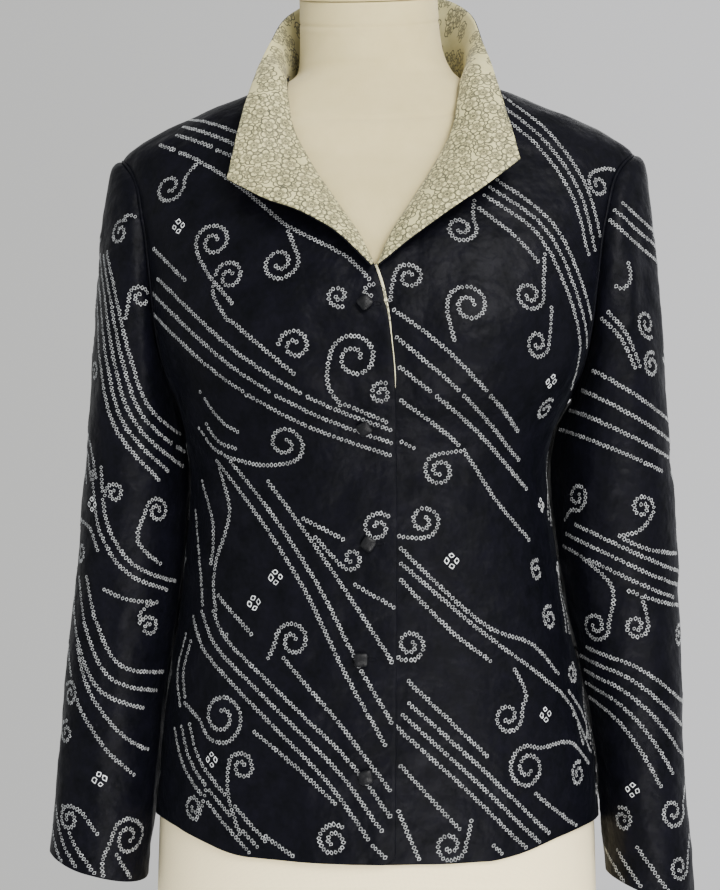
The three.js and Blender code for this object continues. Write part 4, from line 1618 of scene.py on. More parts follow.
@dataclass
class Sleeve(ClothPiece):
    """A set-in sleeve: a plain tube up to the bicep, and a cap that rises to the armhole."""

    side: Side = Side.RIGHT
    cuff_tilt: float = 6.0
    square: float = 2.15
    pull_out: float = 0.31
    pull_rise: float = 0.25
    pull_forward: float = 0.3
    head: float = 4.0
    head_reach: float = 0.07
    tuck: float = 16.0
    tuck_span: Pair = (700.0, 1037.0)
    clear: float = 2.5
    cord: float = 1.3

    def nodes(self) -> tuple[str, ...]:
        """The sleeve's three packed tubes."""
        return tuple(f"{self.node}_{part}" for part in ("forearm", "upper", "cap"))

    def tube(self, z: Array, turn: Array) -> Array:
        """The tube's point at height z and a turn from its outer side, where positive turns go to the front.

        Across and deep it is a superellipse, and towards the cuff it tilts by half of cuff_tilt.

        Args:
            z: the height.
            turn: the turn.

        Returns:
            The points.
        """
        table, power = SLEEVE_TUBES[self.side], 2 / self.square
        inner, outer = table.at("inner", z), table.at("outer", z)
        across = (outer - inner) / 2 * signed_power(np.cos(turn), power)
        deep = table.at("depth", z) * signed_power(np.sin(turn), power)
        fall = np.clip((BICEP_Z - z) / (BICEP_Z - table.low), 0, 1)
        tilt = self.cuff_tilt / 2 * fall * fall * np.cos(turn)
        out = (inner + outer) / 2 + across
        return np.stack([self.side.value * out, table.at("y", z) - deep, z + tilt], -1)

    def cap(self, share: Array, turn: Array) -> Array:
        """The cap's point at a share of the way from the armhole to the bicep.

        Along each turn it is a cubic that leaves the armhole outwards and arrives at the tube straight down.
        Its top is rolled outwards by head just past the seam, as the ease there makes it stand.

        Args:
            share: the share of the way.
            turn: the turn.

        Returns:
            The points.
        """
        y, z = BODY.armhole(np.mod(turn + math.pi, 2 * math.pi) - math.pi)
        start = BODY.point(BODY.side_angle(self.side, y, z), z, np.full(np.shape(z), 0.9))
        end = self.tube(np.full(np.shape(z), BICEP_Z), turn)
        drop = start[..., 2] - end[..., 2]
        high = (z - UNDERARM_Z) / (SHOULDER_Z - UNDERARM_Z)
        out = self.side.value * drop * self.pull_out * high * (1 - self.pull_rise * (1 - high))
        head = self.head * high * high * (share / self.head_reach) * np.exp(1 - share / self.head_reach)
        forward = drop * self.pull_forward * y / BODY.armhole_front
        leave = np.stack([out, forward, -drop * (1 - 0.55 * high)], -1)
        arrive = (self.tube(np.full(np.shape(z), BICEP_Z - 10.0), turn) - end) * drop[..., None] / 10
        rolled = head[..., None] * np.array([self.side.value, 0, 0.35])
        return hermite(start, end, leave, arrive, share[..., None]) + rolled

    def ground(self) -> Array:
        """The tube's rows from cuff to bicep and then the cap's, to the armhole.

        Returns:
            The surface's rows.
        """
        turn = around(112)
        turn = turn if self.side is Side.RIGHT else -turn
        cuff = SLEEVE_TUBES[self.side].low
        low = cuff + np.array([0, 0.5, 1.4, 2.8])
        z = np.concatenate([low, np.linspace(cuff + 5, BICEP_Z, 88)])
        share = np.concatenate([np.linspace(1, 0.03, 50)[1:], [0.018, 0.008, 0]])
        tube = self.tube(*np.broadcast_arrays(z[:, None], turn[None]))
        grid = np.concatenate([tube, self.cap(*np.broadcast_arrays(share[:, None], turn[None]))])
        return self.tucked(grid, turn)

    def tucked(self, grid: Array, turn: Array) -> Array:
        """Moves the inner back of the sleeve in beside the waist, until it is clear of the body by a little.

        The move is full between tuck_span's two heights, on the inner back quarter, and none at the front.

        Args:
            grid: the sleeve's rows.
            turn: the turn of each column.

        Returns:
            The moved rows.
        """
        out, y, z = self.side.value * grid[..., 0], grid[..., 1], grid[..., 2]
        quarter = smoothstep(-np.cos(turn), 0.0, 0.7) * smoothstep(-np.sin(turn), -0.35, 0.4)
        low, high = self.tuck_span
        move = self.tuck * smoothstep(z, low - 30, low + 40) * (1 - smoothstep(z, high - 12, high)) * quarter
        body = self.side.value * BODY.plain(BODY.side_angle(self.side, np.clip(y, -60, 60), z), z)[..., 0]
        moved = np.maximum(out - move, np.minimum(out, body + self.clear))
        return np.stack([self.side.value * moved, y, z], -1)

    def armhole_cord(self) -> Piece:
        """The seam round the armhole: a fine round cord in the gap between the panels and the sleeve.

        Returns:
            The cord.
        """
        turn = np.linspace(-math.pi, math.pi, 241)[:-1]
        y, z = BODY.armhole(turn)
        angle = BODY.side_angle(self.side, y, z)
        middle = BODY.point(angle, z, np.full(turn.shape, -0.2))
        out = unit(BODY.point(angle, z, np.ones(turn.shape)) - BODY.point(angle, z, np.zeros(turn.shape)))
        beside = unit(np.cross(out, unit(np.roll(middle, -1, 0) - np.roll(middle, 1, 0))))
        bend = around(8)[:, None, None]
        points = middle + self.cord * (np.cos(bend) * out + np.sin(bend) * beside)
        faces = grid_faces(9, len(turn), wrap=True) % points[..., 0].size
        flat = cloth_coordinates(np.concatenate([points, points[:1]]), True)
        name = "armhole_seam_" + self.side.word
        return new_piece(name, points.reshape(-1, 3), [faces], [quad_corners(flat)])

    def build(self, finishes: Finishes) -> Surface:
        """Makes the sleeve, its rings and the seam at its armhole.

        Args:
            finishes: the object's materials.

        Returns:
            The sleeve's outer surface.
        """
        cloth = super().build(finishes)
        seat(self.armhole_cord(), finishes, "satin")
        return cloth

    def seams(self, flat: Array) -> Array:
        """A seam at the armhole."""
        gap = flat[-1:, :, 1] - flat[..., 1]
        return seam_relief(gap, 1.3 * flat[-1:, :, 0]) - 0.2 * np.exp(-((flat[..., 1] / 1.5) ** 2))


# ---- The collar and facing -------------------------------------------
# Station by station from the V to the middle of the back: the seam's x and z, its y where it is behind the
# neckline, the free edge's x, y and z, and how far the leaf bows out to its face. A tip is a corner.
COLLAR_RIGHT = [
    ((5, None, 1134), (4, -131, 1132.5), 0),
    ((-7, None, 1157), (-20, -128, 1156), 1),
    ((-26, None, 1185), (-47, -124, 1173), 3),
    ((-41, None, 1208), (-77, -118, 1185), 5),
    ((-53, None, 1229), (-107, -101, 1202), 6),
    ((-60, None, 1244), (-103, -86, 1231), 6),
    ((-65, None, 1265), (-99, -68, 1259), 6),
    ((-68, None, 1284), (-92, -41, 1294), 6),
    ((-74, -6, 1298.5), (-86, -10, 1325), 5),
    ((-66, 32, 1298.5), (-75, 26, 1357), 4),
    ((-40, 60, 1298.5), (-48, 64, 1380), 3),
    ((0, 71, 1298.5), (0, 81, 1386), 3),
]
COLLAR_LEFT = [
    ((10, None, 1134), (9, -130, 1133.5), 0),
    ((19, None, 1157), (30, -127, 1150.5), 1),
    ((35, None, 1185), (60, -122, 1173), 3),
    ((46, None, 1204), (86, -115, 1191), 5),
    ((57, None, 1226), (114, -100, 1214), 6),
    ((64, None, 1244), (108, -84, 1239), 6),
    ((67, None, 1265), (102, -67, 1262), 6),
    ((69, None, 1284), (94, -41, 1295), 6),
    ((74, -6, 1298.5), (86, -10, 1325), 5),
    ((66, 32, 1298.5), (75, 26, 1357), 4),
    ((40, 60, 1298.5), (48, 64, 1380), 3),
]
STATIONS = COLLAR_LEFT + COLLAR_RIGHT[::-1]
LAST_STATION = len(STATIONS) - 1
TIP_STATION = 4


def rolled_out(grid: Array) -> Array:
    """The flat places of a strip's vertices when its rows are laid out one after another.

    From row to row the heading turns by the difference between the far and the near step across the row,
    over the row's length, and the near end moves by its own step.

    Args:
        grid: rows of points that each run from the strip's near edge to its far edge.

    Returns:
        Two lengths for each vertex.
    """
    across = lengths(grid, 1)
    ahead = unit(grid[:-1, -1] - grid[:-1, 0])
    near, far = np.diff(grid[:, 0], axis=0), np.diff(grid[:, -1], axis=0)
    along = (near * ahead).sum(1)
    beside = [np.linalg.norm(step - (step * ahead).sum(1)[:, None] * ahead, axis=1) for step in (near, far)]
    heading = np.concatenate([[0], np.cumsum((beside[1] - beside[0]) / across[:-1, -1].clip(8))])
    forward = np.stack([np.cos(heading), np.sin(heading)], 1)
    sideways = np.stack([-forward[:, 1], forward[:, 0]], 1)
    steps = along[:, None] * forward[:-1] + beside[0][:, None] * sideways[:-1]
    start = np.concatenate([np.zeros((1, 2)), np.cumsum(steps, 0)])
    return start[:, None] + across[..., None] * forward[:, None]


@dataclass
class Collar:
    """The pointed collar that stands away from the neck: a printed upper leaf and a black under leaf."""

    steps: int = 9
    columns: int = 24
    shoulder: float = 7.0
    flat: Pair = (0.56, 0.115)
    area: float = 0.0385

    def seam_point(self, x: float, y: float | None, z: float) -> Array:
        """A station's point on the seam, a little above the fronts where it lies on them.

        Args:
            x: how far to the wearer's left.
            y: how far to the back, or None on the fronts.
            z: the height.

        Returns:
            The point.
        """
        if y is not None:
            return np.array([x, y, z], float)
        clear = 1.2 + 2.5 * SEAM + lap_lift(x, z)
        return BODY.point(BODY.front_angle(x, z), z, clear)

    def middle(self) -> Array:
        """The leaf's middle surface, in rows along the seam from the left V round the back to the right V.

        The free edge is three curves that meet at the two tips. Across, each row is a quadratic curve from
        the seam to the edge that bows out to the leaf's face.

        Returns:
            The surface's rows.
        """
        last = LAST_STATION
        seam = np.array([self.seam_point(*row[0]) for row in STATIONS])
        edge = np.array([row[1] for row in STATIONS], float)
        roll = np.array([row[2] for row in STATIONS], float)
        at = np.arange(last * self.steps + 1) / self.steps
        roots = curve_through(seam, at / last)
        ahead = curve_through(seam, np.minimum(at + 0.01, last) / last)
        along = ahead - curve_through(seam, np.maximum(at - 0.01, 0) / last)
        stops = [0, TIP_STATION, last - TIP_STATION, last]
        edges = np.zeros_like(roots)
        for a, b in zip(stops[:-1], stops[1:]):
            inside = (at >= a) & (at <= b)
            edges[inside] = curve_through(edge[a : b + 1], (at[inside] - a) / (b - a))
        face = unit(np.cross(edges - roots, along))
        bow = roots + 0.45 * (edges - roots) + 2 * np.interp(at, np.arange(last + 1), roll)[:, None] * face
        t = (np.arange(self.columns + 1) / self.columns)[None, :, None]
        grid = (1 - t) ** 2 * roots[:, None] + 2 * t * (1 - t) * bow[:, None] + t * t * edges[:, None]
        ripple = 0.7 * np.sin(at / 1.35 + 0.6)[:, None] * t[..., 0] ** 2 + crinkle(grid, 0.18)
        return grid + Surface(grid, False).normals * -ripple[..., None]

    def neck_seam(self) -> Piece:
        """The seam round the back of the neck: a strip with a swell that fills the step under the leaves.

        Returns:
            The strip.
        """
        at = np.linspace(self.shoulder, LAST_STATION - self.shoulder, 121)
        seam = np.array([self.seam_point(*row[0]) for row in STATIONS])
        foot = curve_through(seam, at / LAST_STATION)
        half = np.interp(foot[:, 2], (1288, 1298.5), (0.6, 2.1))
        share = np.linspace(-1, 1, 9)[:, None]
        middle = foot + np.stack([0 * half, 0 * half, 0.3 - half], 1)
        centre = middle + (half * share)[..., None] * np.array([0, 0, 1.0])
        ahead = unit(np.gradient(foot, axis=0) * np.array([1, 1, 0]))
        out = np.stack([-ahead[:, 1], ahead[:, 0], 0 * half], 1)
        swell = 0.9 * np.sqrt(1.05 - share**2) * smoothstep(np.minimum(at - at[0], at[-1] - at), -0.1, 0.3)
        outer, inner = centre + swell[..., None] * out, centre - swell[..., None] * out
        return shell("neck_seam", outer, inner, False, cloth_coordinates(outer, False))

    def build(self, finishes: Finishes) -> None:
        """Makes the two leaves, one on each side of the middle surface, and the seam behind the neck.

        Args:
            finishes: the object's materials.
        """
        seat(self.neck_seam(), finishes, "satin")
        grid = self.middle()
        outward = unit(np.cross(np.gradient(grid, axis=1), np.gradient(grid, axis=0)))
        flat = rolled_out(grid)
        near, far = SEAM / 2, SEAM / 2 + LEAF
        for name, low, high, key in (("collar", near, far, "print"), ("under_collar", -far, -near, "satin")):
            piece = shell(name + "_leaf", grid + outward * high, grid + outward * low, False, flat)
            seat(piece, finishes, key)
            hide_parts(name)


@dataclass
class Facing:
    """The right front's facing, whose turned edge shows below the V and narrows to nothing."""

    top: float = 1134.0
    bottom: float = 1042.0
    under: float = 10.0
    least: float = 0.1
    beyond: float = 1.2
    thick: float = 0.6

    def build(self, finishes: Finishes) -> None:
        """Makes a strip that lies under the right front and comes up round its edge.

        Args:
            finishes: the object's materials.
        """
        z = np.linspace(self.bottom, self.top, 70)[:, None]
        share = np.concatenate([np.linspace(-1, 0, 8), np.linspace(0.2, 1, 5)])[None]
        beyond = self.least + 0.6 * smoothstep(z, self.bottom, self.bottom + 12)
        beyond = beyond + self.beyond * smoothstep(z, self.bottom + 30, self.top - 12)
        x = FRONT_EDGES.at("right", z) + np.where(share < 0, self.under, beyond) * share
        rise = WALL + 2 * SEAM - CLOTH - 0.15 + 0.75 * smoothstep(share, 0, 0.7) + 0 * z
        z = z + 0 * x
        angle = BODY.front_angle(x, z)
        outer, inner = BODY.point(angle, z, rise), BODY.point(angle, z, rise - self.thick)
        piece = shell("facing_edge", outer, inner, False, cloth_coordinates(outer, False))
        seat(piece, finishes, "facing")
        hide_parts("front_facing")


# ---- The buttons -----------------------------------------------------
# From the shank up: the half width, the height, and how square the section is.
BUTTON_PROFILE = [
    (1.9, 0, 2), (1.9, 1.5, 2), (2.2, 1.9, 2.2), (4.1, 2.05, 4), (4.75, 2.3, 4.6),
    (5.05, 2.8, 4.8), (5.1, 3.2, 4.8), (4.95, 3.65, 4.6), (4.55, 4.05, 4.2), (3.7, 4.4, 3.6),
    (2.6, 4.6, 3), (1.3, 4.72, 2.4), (0.4, 4.75, 2),
]


@dataclass(frozen=True)
class Button:
    """A square, padded button covered in satin, on a shank, and its buttonhole."""

    number: int
    x: float
    z: float
    turn: float
    half: float = 5.1
    clear: float = 0.5

    def head(self, origin: Array, level: Array, rising: Array, normal: Array) -> Piece:
        """The button as rings of a square with round corners.

        Args:
            origin: where its shank meets the cloth.
            level: the direction along the cloth.
            rising: the direction up the cloth.
            normal: the direction out of the cloth.

        Returns:
            The object.
        """
        half, height, square = np.array(BUTTON_PROFILE).T[..., None]
        angle = around(48)
        local = angle - math.radians(self.turn)
        corner = (np.abs(np.cos(local)) ** square + np.abs(np.sin(local)) ** square) ** (-1 / square)
        pull = 1 + 0.02 * np.sin(9 * angle + self.number) * smoothstep(half, 2, 5)
        radius = half / half.max() * self.half * corner * pull
        across, up = radius * np.cos(angle), radius * np.sin(angle)
        rings = origin + across[..., None] * level + up[..., None] * rising + height[..., None] * normal
        return stack(f"covered_button_{self.number}", rings)

    def buttonhole(self, cloth: Surface, row: Array, column: Array) -> Piece:
        """The stitched edge of the buttonhole: a long low lip of close stitches round a slit.

        The lip is an outer edge just under the cloth, a crest and an inner edge. Its crest rises and falls
        from stitch to stitch.

        Args:
            cloth: the surface it is sewn on.
            row: the button's row on it.
            column: the button's column on it.

        Returns:
            The lip.
        """
        angle = around(96)
        radius = (np.abs(np.cos(angle) / 7.4) ** 3 + np.abs(np.sin(angle) / 1.7) ** 3) ** (-1 / 3)
        rings = []
        for reach, lift in ((1.0, -0.1), (0.86, 0.45), (0.62, 0.5), (0.4, -0.12)):
            shape = radius * (1 - (1 - reach) * np.minimum(1, 1.7 / radius) * 1.4)
            stitches = lift + (0.09 * np.cos(48 * angle) if lift > 0 else 0)
            right, rise = 5 + shape * np.cos(angle), shape * np.sin(angle)
            rows, columns = cloth.moved(row, column, right[None], rise[None])
            rings.append(cloth.at(rows[0], columns[0], np.broadcast_to(stitches, (96,))))
        faces = grid_faces(4, 96, wrap=True)
        uv = quad_corners(cloth_coordinates(np.stack(rings), True))
        return new_piece(f"buttonhole_{self.number}", np.concatenate(rings), [faces], [uv])

    def build(self, finishes: Finishes, cloth: Surface) -> None:
        """Seats the button on the right front and makes its buttonhole.

        Args:
            finishes: the object's materials.
            cloth: the right front's outer face.
        """
        row, column, _ = cloth.find(View.FRONT, np.array([[self.x, self.z]]))
        level, rising, normal = (v[0] for v in cloth.frame_at(row, column))
        head = self.head(cloth.at(row, column)[0] + self.clear * normal, level, rising, normal)
        seat(head, finishes, "button")
        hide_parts(f"button_{self.number}")
        seat(self.buttonhole(cloth, row, column), finishes, "satin")


# ---- The dress form --------------------------------------------------
NECK = Profile("""
z x half front back tilt
1300 -0.5 64.5 49.5 64 0
1309 -2 60.5 49.5 60 0.06
1322 -4 58 49 57.5 0.15
1344 -5.5 56.5 48.5 56 0.28
1364 -6.2 56.2 48.5 55.5 0.33
""", ease=2)


NECK_FOOT = 1290.0


@dataclass(frozen=True)
class NeckSeam:
    """A fine seam round the neck: a groove between two low swells, on a plane that slopes to the front."""

    height: float
    front_slope: float
    back_slope: float
    depth: float
    width: float
    swell: float
    swell_away: float
    swell_width: float

    def relief(self, y: Array, z: Array) -> Array:
        """How far the seam moves each vertex out: a bell for each swell, less a bell for the groove.

        Args:
            y: the vertices' y.
            z: their heights.

        Returns:
            One number for each vertex.
        """
        above = z - self.height - np.where(y < 0, self.front_slope, self.back_slope) * y
        swells = self.swell * np.exp(-(((np.abs(above) - self.swell_away) / self.swell_width) ** 2))
        return swells - self.depth * np.exp(-((above / self.width) ** 2))


NECK_SEAMS = (
    NeckSeam(1300, 0.75, 0.15, depth=0.7, width=1.3, swell=0.3, swell_away=4.5, swell_width=3),
    NeckSeam(1344, 0.33, 0.33, depth=0.6, width=1.2, swell=0.25, swell_away=4, swell_width=2.5),
)


def turned(profile: Sequence[Pair]) -> Array:
    """Rings through (radius, height) points, each carried round the axis.

    Args:
        profile: the points.

    Returns:
        The rings' points.
    """
    angle = around(96)
    radius, z = np.array(profile, float).T[..., None]
    return np.stack([radius * np.cos(angle), radius * np.sin(angle), z + 0 * angle], -1)


def rounded(middle: Pair, radius: float, sweep: Pair, count: int = 6) -> list[Pair]:
    """Points on a part of a circle round a middle, from one angle to another in degrees."""
    angles = np.radians(np.linspace(*sweep, count))
    return [(middle[0] + radius * math.cos(a), middle[1] + radius * math.sin(a)) for a in angles]


@dataclass
class DressForm:
    """The limbless form: a linen-covered torso with a neck and its cap, a pole and a round base."""

    bottom: float = 460.0
    round: float = 8.0
    columns: int = 180
    neck_top: float = 1364.0
    cap_high: float = 12.0
    cap_over: float = 1.5
    cap_round: float = 3.0
    pole_radius: float = 16.0
    foot_radius: float = 46.0
    base_radius: float = 210.0
    base_high: float = 12.0

    def neck_ring(self, level: Array, out: Array, z: Array) -> Array:
        """The neck's section at a level, grown by out and set at height z, which rises to the back.

        Args:
            level: the level whose shape it has.
            out: how far it is grown.
            z: the height it is set at.

        Returns:
            The ring's points.
        """
        angle = around(self.columns)
        depth = np.where(angle > math.pi, NECK.at("front", level), NECK.at("back", level)) + out
        x = NECK.at("x", level) + (NECK.at("half", level) + out) * np.cos(angle)
        y = depth * np.sin(angle)
        return np.stack([x, y, z + NECK.at("tilt", level) * y], -1)

    def inset(self, z: float) -> float:
        """How far the form lies inside the body's surface: the wall, the ease, and a little more unseen."""
        hidden = 1.2 * smoothstep(z, 700, 740) * (1 - smoothstep(z, 1090, 1125))
        return float(WALL + SECTIONS.at("ease", z) + hidden)

    def body_ring(self, z: float, deeper: float = 0.0) -> Array:
        """The body's section at height z, moved in by its inset and a little deeper.

        Args:
            z: the height.
            deeper: how much deeper.

        Returns:
            The ring's points.
        """
        angle = around(self.columns)
        lift = np.full(self.columns, -self.inset(z) - deeper)
        return BODY.point(angle, np.full(self.columns, z), lift, even=True)

    def torso(self) -> Array:
        """The torso's rings from its rounded lower edge to the top of the neck.

        Below the neck each ring is the body's surface, moved in by the wall and the form's ease. Between the
        shoulders and the neck the two kinds of ring are blended. The two seams of NECK_SEAMS go round the
        foot of the neck and near its top.

        Returns:
            The rings' points.
        """
        rings = []
        for a in np.linspace(0, math.pi / 2, 9):
            ring = self.body_ring(self.bottom + self.round, self.round * (1 - math.sin(a)))
            ring[:, 2] = self.bottom + self.round * (1 - math.cos(a))
            rings.append(ring)
        fine, close = np.linspace(472, 690, 56), np.linspace(694, 1234, 150)
        for z in np.concatenate([fine, close, np.arange(1235.5, NECK_FOOT, 1.5)]):
            rings.append(self.body_ring(z))
        for z in np.arange(NECK_FOOT + 1, self.neck_top + 0.1, 1.1):
            share = float(smoothstep(z, NECK_FOOT, 1308))
            ring = self.neck_ring(z, 0.0, z)
            rings.append((1 - share) * self.body_ring(z) + share * ring if share < 1 else ring)
        points = np.stack(rings)
        y, z = points[..., 1], points[..., 2]
        relief = sum(seam.relief(y, z) for seam in NECK_SEAMS)
        return points + Surface(points, True).normals * relief[..., None]

    def cap(self) -> Array:
        """The neck cap's rings: a plate that overhangs the neck a little, with a rounded upper edge.

        Returns:
            The rings' points.
        """
        low = self.neck_top + SEAM
        high, over, turn = low + self.cap_high, self.cap_over, self.cap_round
        rings = [(over - 0.8, low), (over, low + 0.8), (over, low + self.cap_high / 2)]
        rings += rounded((over - turn, high - turn), turn, (0, 90), 7)
        rings += [(-turn - 12, high + 0.2), (-turn - 30, high + 0.3)]
        return np.stack([self.neck_ring(self.neck_top, out, z) for out, z in rings])

    def build(self, finishes: Finishes) -> None:
        """Makes the form's four pieces.

        Args:
            finishes: the object's materials.
        """
        high, foot, top = self.base_high, self.base_high + SEAM, self.bottom - SEAM
        edge = rounded((self.foot_radius - 2, foot + 5), 2, (0, 90))
        hollow = rounded((self.pole_radius + 7, foot + 14), 7, (270, 180))
        pole = [(1, foot), (self.foot_radius, foot), *edge, *hollow, (self.pole_radius, top), (1, top)]
        rim = rounded((self.base_radius - 3, high - 3), 3, (0, 90))
        base = [(1, 0), (self.base_radius - 1, 0), (self.base_radius, 1), *rim, (60, high), (1, high)]
        for name, rings, node, key in (
            ("form_body", self.torso(), "form_torso", "linen"),
            ("neck_plate", self.cap(), "form_neck_cap", "linen"),
            ("stand_pole", turned(pole), "form_pole", "enamel"),
            ("stand_base", turned(base), "form_base", "enamel"),
        ):
            piece = stack(name, rings)
            seat(piece, finishes, key)
            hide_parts(node)


# ---- The studio ------------------------------------------------------
@dataclass
class Studio:
    """The camera, a plain pale floor, and soft light."""

    azimuth: float = 4.0
    distance: float = 1350.0
    aside: float = -13.0
    height: float = 1000.0
    focal_px: float = 1658.0
    frame_px: float = 890.0
    sensor: float = 36.0

    def camera(self) -> None:
        """Sets a level camera that looks at the form's axis from a little to the wearer's left."""
        a = math.radians(self.azimuth)
        right, ahead = np.array([math.cos(a), math.sin(a), 0]), np.array([-math.sin(a), math.cos(a), 0])
        data = bpy.data.cameras.new("studio_camera")
        data.sensor_width = self.sensor
        data.lens = self.sensor * self.focal_px / self.frame_px
        data.clip_end = 50
        camera = bpy.data.objects.new("studio_camera", data)
        camera.location = (-self.distance * ahead + self.aside * right + (0, 0, self.height)) * MM
        camera.rotation_euler = (math.pi / 2, 0, a)
        bpy.context.scene.collection.objects.link(camera)
        bpy.context.scene.camera = camera

    def lamp(
        self,
        name: str,
        place: Sequence[float],
        aim: float,
        size: float,
        power: float,
        colour: Colour,
    ) -> None:
        """A square soft light that shines at a point of the form's axis.

        Args:
            name: the light's name.
            place: where it is, in metres.
            aim: the height of the point it shines at.
            size: its side, in metres.
            power: its power in watts.
            colour: its colour.
        """
        data = bpy.data.lights.new(name, "AREA")
        data.size, data.energy, data.color = size, power, colour
        lamp = bpy.data.objects.new(name, data)
        lamp.location = place
        x, y, z = place
        lamp.rotation_euler = (math.atan2(math.hypot(x, y), z - aim), 0, math.atan2(x, -y))
        bpy.context.scene.collection.objects.link(lamp)

    def floor(self) -> None:
        """A plain round floor with its middle under the form."""
        rings = turned(((2150, -0.4), (400, -0.4))).reshape(-1, 3)
        floor = new_piece("floor", rings, [grid_faces(2, 96, wrap=True), np.arange(96, 192)[None]])
        material = bpy.data.materials.new("pale floor")
        material.use_nodes = True
        graph = Graph(material.node_tree)
        grain = graph.noise(graph.place(), 6.0, 3.0)
        colour = graph.mix(grain, (0.56, 0.57, 0.58, 1), (0.6, 0.61, 0.62, 1))
        graph.feed(material.node_tree.nodes["Principled BSDF"], {"Base Color": colour, "Roughness": 0.8})
        floor.data.materials.append(material)
        floor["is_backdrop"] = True

    def build(self) -> None:
        """Sets the camera, floor, lights and an even pale surround."""
        self.camera()
        self.floor()
        self.lamp("key_light", (1.1, -1.9, 2.4), 1.05, 1.3, 125, (1.0, 0.985, 0.96))
        self.lamp("low_light", (0.5, -1.5, 0.2), 0.5, 0.8, 42, (1.0, 0.98, 0.95))
        self.lamp("fill_light", (-2.0, -1.6, 1.4), 1.0, 1.8, 19, (0.95, 0.98, 1.0))
        self.lamp("rim_light", (0.6, 2.4, 2.2), 1.0, 1.6, 12, (1.0, 1.0, 1.0))
        world = bpy.data.worlds.new("pale surround")
        world.use_nodes = True
        graph = Graph(world.node_tree)
        share = graph.ramp(graph.parts(graph.place("Generated"))[0], -0.35, 0.25)
        colour = graph.mix(share, (0.7, 0.7, 0.685, 1), (0.93, 0.93, 0.945, 1))
        graph.feed(world.node_tree.nodes["Background"], {"Color": colour})
        bpy.context.scene.world = world


# ---- The pattern of the tie-dye, and the folds -----------------------
def rows_of(table: str) -> Iterator[tuple[list[float], tuple[Pair, ...]]]:
    """Each row of a table: the numbers before its colon, and the points after it, with commas between.

    Args:
        table: the table's text.

    Returns:
        The numbers and the points, row by row.
    """
    for row in table.strip().splitlines():
        numbers, _, points = row.partition(":")
        pairs = (tuple(map(float, point.split())) for point in points.split(","))
        yield [float(number) for number in numbers.split()], tuple(pair for pair in pairs if pair)


def folds(table: str, view: View = View.FRONT, sharp: bool = False) -> tuple[Fold, ...]:
    """Folds from a table: each row has the depth and the width, and then the path."""
    return tuple(Fold(path, *sizes, view, sharp) for sizes, path in rows_of(table))


def pattern(table: str, view: View = View.FRONT) -> tuple[Item, ...]:
    """A pattern from a table.

    Args:
        table: for each stream a row with its number of lines, its gap and its fan, and then its path; for
            each curl its middle's two coordinates, its radius, turns and start, and then its stem; and last
            the middles of the crosses.
        view: the side that it is drawn from.

    Returns:
        The pattern's items.
    """
    items: list[Item] = []
    for numbers, path in rows_of(table):
        if not numbers:
            items += [Cross(at, view) for at in path]
        elif len(numbers) == 5:
            items.append(Curl(tuple(numbers[:2]), *numbers[2:], path, view))
        else:
            items.append(Stream(path, int(numbers[0]), *numbers[1:], view=view))
    return tuple(items)


def slanting_pattern(view: View, across: Pair, heights: Pair, size: float) -> tuple[Item, ...]:
    """Sheaves that slant down one below another, with a curl and sometimes four rings between them.

    Args:
        view: the side they are drawn from.
        across: where the sheaves start and end across the view.
        heights: where the first and the last of them start.
        size: how large the curls are.

    Returns:
        The pattern's items.
    """
    first, last = across
    middle, wide = (first + last) / 2, last - first
    items: list[Item] = []
    for k, z in enumerate(np.arange(heights[0], heights[1], -88.0)):
        bend = middle + (0.0, 0.12, -0.1)[k % 3] * wide
        path = ((first, z), (bend, z - 22), (last, z - 64))
        items.append(Stream(path, 2 + k % 3, 8.0, 1.2, view))
        items.append(Curl((bend - 0.2 * wide, z - 56), size, (1.5, -1.5)[k % 2], (-90, 190)[k % 2], (), view))
        if k % 2:
            items.append(Cross((middle + 0.3 * wide, z - 10), view))
    return tuple(items)


BACK_RINGS = pattern("""
4 10 0.8: -150 1240, -95 1190, -60 1120, -35 1040, -30 975
3 9: 30 1265, 60 1225, 110 1190, 170 1165
3 9 0.8: -165 1130, -120 1090, -95 1040, -90 990
4 10 1.3: -30 965, 20 930, 90 870, 150 790
3 11: 170 1080, 110 1040, 60 1000, 20 950
4 10 1.2: -140 960, -100 900, -40 840, 30 800, 60 740
3 9 1.2: -165 850, -125 800, -85 740, -70 696
3 9: 165 760, 120 730, 85 694
2 9: -35 780, 10 735, 30 694
1: 140 950, 110 920, 95 880
2 8: 10 1250, -15 1210, -20 1170
60 1140 20 -1.7 190: 30 1090
120 1130 15 1.6 -90: 70 1108
10 1120 15 -1.6 20: 25 1165
-120 1160 15 1.6 60: -85 1172
-140 1040 14 -1.5 180: -130 1000
0 1030 17 1.7 -90: -35 1012
95 965 15 -1.6 20: 120 990
-70 935 15 -1.6 190: -75 900
20 870 17 1.7 -90: -30 862
120 905 13 1.5 60
-110 850 14 -1.5 190: -118 820
110 800 17 -1.6 20: 140 835
-20 735 16 -1.6 190: -40 705
-120 735 14 1.5 60: -95 755
70 780 12 1.5 -90
145 1215 12 1.5 60
-45 1225 14 -1.5 20
: -5 1075, 150 1010, -130 905, 60 915, 75 830, -50 790, -10 1145
""", View.BACK)
BACK_RINGS += slanting_pattern(View.RIGHT, (58, 16), (1010, 730), 10)
BACK_RINGS += slanting_pattern(View.LEFT, (16, 58), (1020, 730), 10)
BACK_FOLDS = folds("""
-0.8 1.3: -75 1060, -72 980, -80 850
-0.8 1.3: 75 1060, 72 980, 80 850
""", View.BACK, sharp=True)
